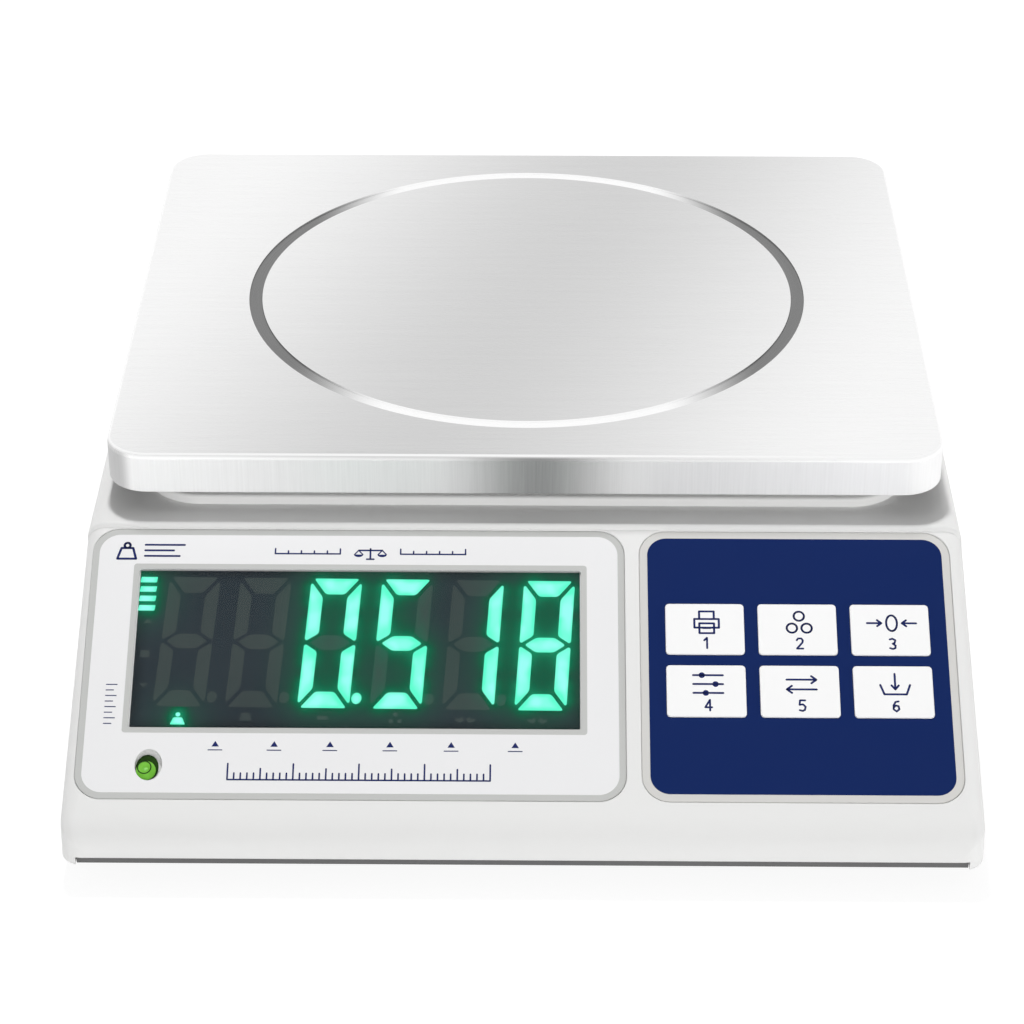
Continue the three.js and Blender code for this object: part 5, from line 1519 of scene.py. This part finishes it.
def foot_screw(name, place):
    low, high = SOLE_HEIGHT, SOLE_HEIGHT + WHEEL_HEIGHT
    upper = [(high, 1.6), (high, 0.7), (high - 0.5, 0.15), (high - 0.9, 0)]
    lower = [(low + 0.9, 0), (low + 0.5, 0.15), (low + 0.05, 0.7), (low + 0.05, 1.6)]
    screw = Shape().loops([wheel_ring(z, inset) for z, inset in upper + lower], place)
    stud = STUD_DIAMETER / 2
    quarters = int((STUD_TOP - high) / THREAD_PITCH * 4)
    profile = [(stud - 0.6, STUD_TOP)]
    for k in range(quarters + 1):
        z = STUD_TOP - 0.3 - k * THREAD_PITCH / 4
        if z > high - 0.2:
            profile.append((stud - THREAD_DEPTHS[k % 4], z))
    screw.lathe(profile + [(stud, high - 0.2)], place, 32)
    screw.lathe([(SCREW_NECK / 2, low + 0.2), (SCREW_NECK / 2, low - 1.4)], place, 32)
    body = "foot_screw_" + name
    finished(screw.build("foot_wheel_" + name), body, "black_plastic", [body], smooth=30)


for name, (side, end) in FOOT_SIDES.items():
    place = shifted(upright, side * FOOT_X, end * FOOT_Y)
    foot_sole(name, place)
    foot_screw(name, place)

# Camera, lights and floor
PHOTO_SIZE = 1024
FOCAL_PIXELS = 3139.4
SENSOR = 36
CAMERA_AT = (4.3, -966.9, 621.8)
PITCH = 31.25  # degrees down
YAW = 0.54  # degrees to the left
AMBIENT = 0.28  # brightness of the room around the object
FLOOR_REACH = 4000
FLOOR_TONE = 0.8
FLOOR_SEEN_TONE = 0.18  # the floor as the camera and reflections see it, before the even glow below
FLOOR_GLOW = 0.9
WHITE = (1, 1, 1, 1)


def add_camera():
    data = bpy.data.cameras.new("camera")
    data.sensor_width = SENSOR
    data.lens = FOCAL_PIXELS * SENSOR / PHOTO_SIZE
    data.clip_start = 0.05
    camera = bpy.data.objects.new("camera", data)
    bpy.context.scene.collection.objects.link(camera)
    turn = Matrix.Rotation(math.radians(YAW), 4, "Z") @ Matrix.Rotation(math.radians(90 - PITCH), 4, "X")
    camera.matrix_world = Matrix.Translation(Vector(CAMERA_AT) * MM) @ turn
    bpy.context.scene.camera = camera


def add_lamp(name, place, aim, size, power):
    """A round lamp that no reflection shows; places and size are in metres, power in watts."""
    data = bpy.data.lights.new(name, "AREA")
    data.shape = "DISK"
    data.size = size
    data.energy = power
    lamp = bpy.data.objects.new(name, data)
    bpy.context.scene.collection.objects.link(lamp)
    lamp.location = place
    lamp.rotation_euler = (Vector(place) - Vector(aim)).to_track_quat("Z", "Y").to_euler()
    lamp.visible_glossy = False


def seen_background(nodes):
    """1 for rays that show the background: straight from the camera, in a reflection or through glass."""
    path = nodes.node("ShaderNodeLightPath").outputs
    mirrored = nodes.math("MAXIMUM", path["Is Glossy Ray"], path["Is Transmission Ray"])
    return nodes.math("MAXIMUM", path["Is Camera Ray"], mirrored)


def add_world():
    world = bpy.data.worlds.new("studio")
    bpy.context.scene.world = world
    nodes = Nodes(world, "Background", {"Color": WHITE})
    nodes.link(nodes.range(seen_background(nodes), 0, 1, AMBIENT, 1, smooth=False), "Strength")


def add_floor():
    corners = scaled([(-1, -1), (1, -1), (1, 1), (-1, 1)], FLOOR_REACH)
    piece = Shape().add(raised(corners, 0), [[0, 1, 2, 3]]).build("floor")
    nodes = new_material("pale floor", Roughness=0.9, Emission_Color=WHITE)
    nodes.bump(nodes.noise(40, 3), 0.0001)
    seen = seen_background(nodes)
    tones = [(tone, tone, tone, 1) for tone in (FLOOR_TONE, FLOOR_SEEN_TONE)]
    nodes.link(nodes.mix(seen, *tones), "Base Color")
    nodes.link(nodes.math("MULTIPLY", seen, FLOOR_GLOW), "Emission Strength")
    piece.data.materials.append(nodes.owner)


add_camera()
add_world()
add_floor()
add_lamp("high key", (-0.15, 0.73, 2.08), (0, 0, 0), 0.2, 28)
add_lamp("front fill", (0.3, -2.5, 0.33), (0, 0, 0.05), 1.2, 28)
add_lamp("left fill", (-2.2, -1, 0.2), (0, 0, 0.05), 0.3, 7)
add_lamp("right fill", (2.2, -0.8, 0.2), (0, 0, 0.05), 0.3, 12)
bpy.context.scene.view_settings.view_transform = "Standard"

# CAD nodes that stay
EDGE_BREAK = 0.25
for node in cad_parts.values():
    kept = SLOT_MATERIALS.get(node.data.materials[0].name) if node.data.materials else None
    if kept:
        node.data.materials[0] = kept
        rounding = node.modifiers.new("rounded edges", "BEVEL")
        rounding.width = EDGE_BREAK * MM
        rounding.segments = 2
        rounding.angle_limit = math.radians(40)
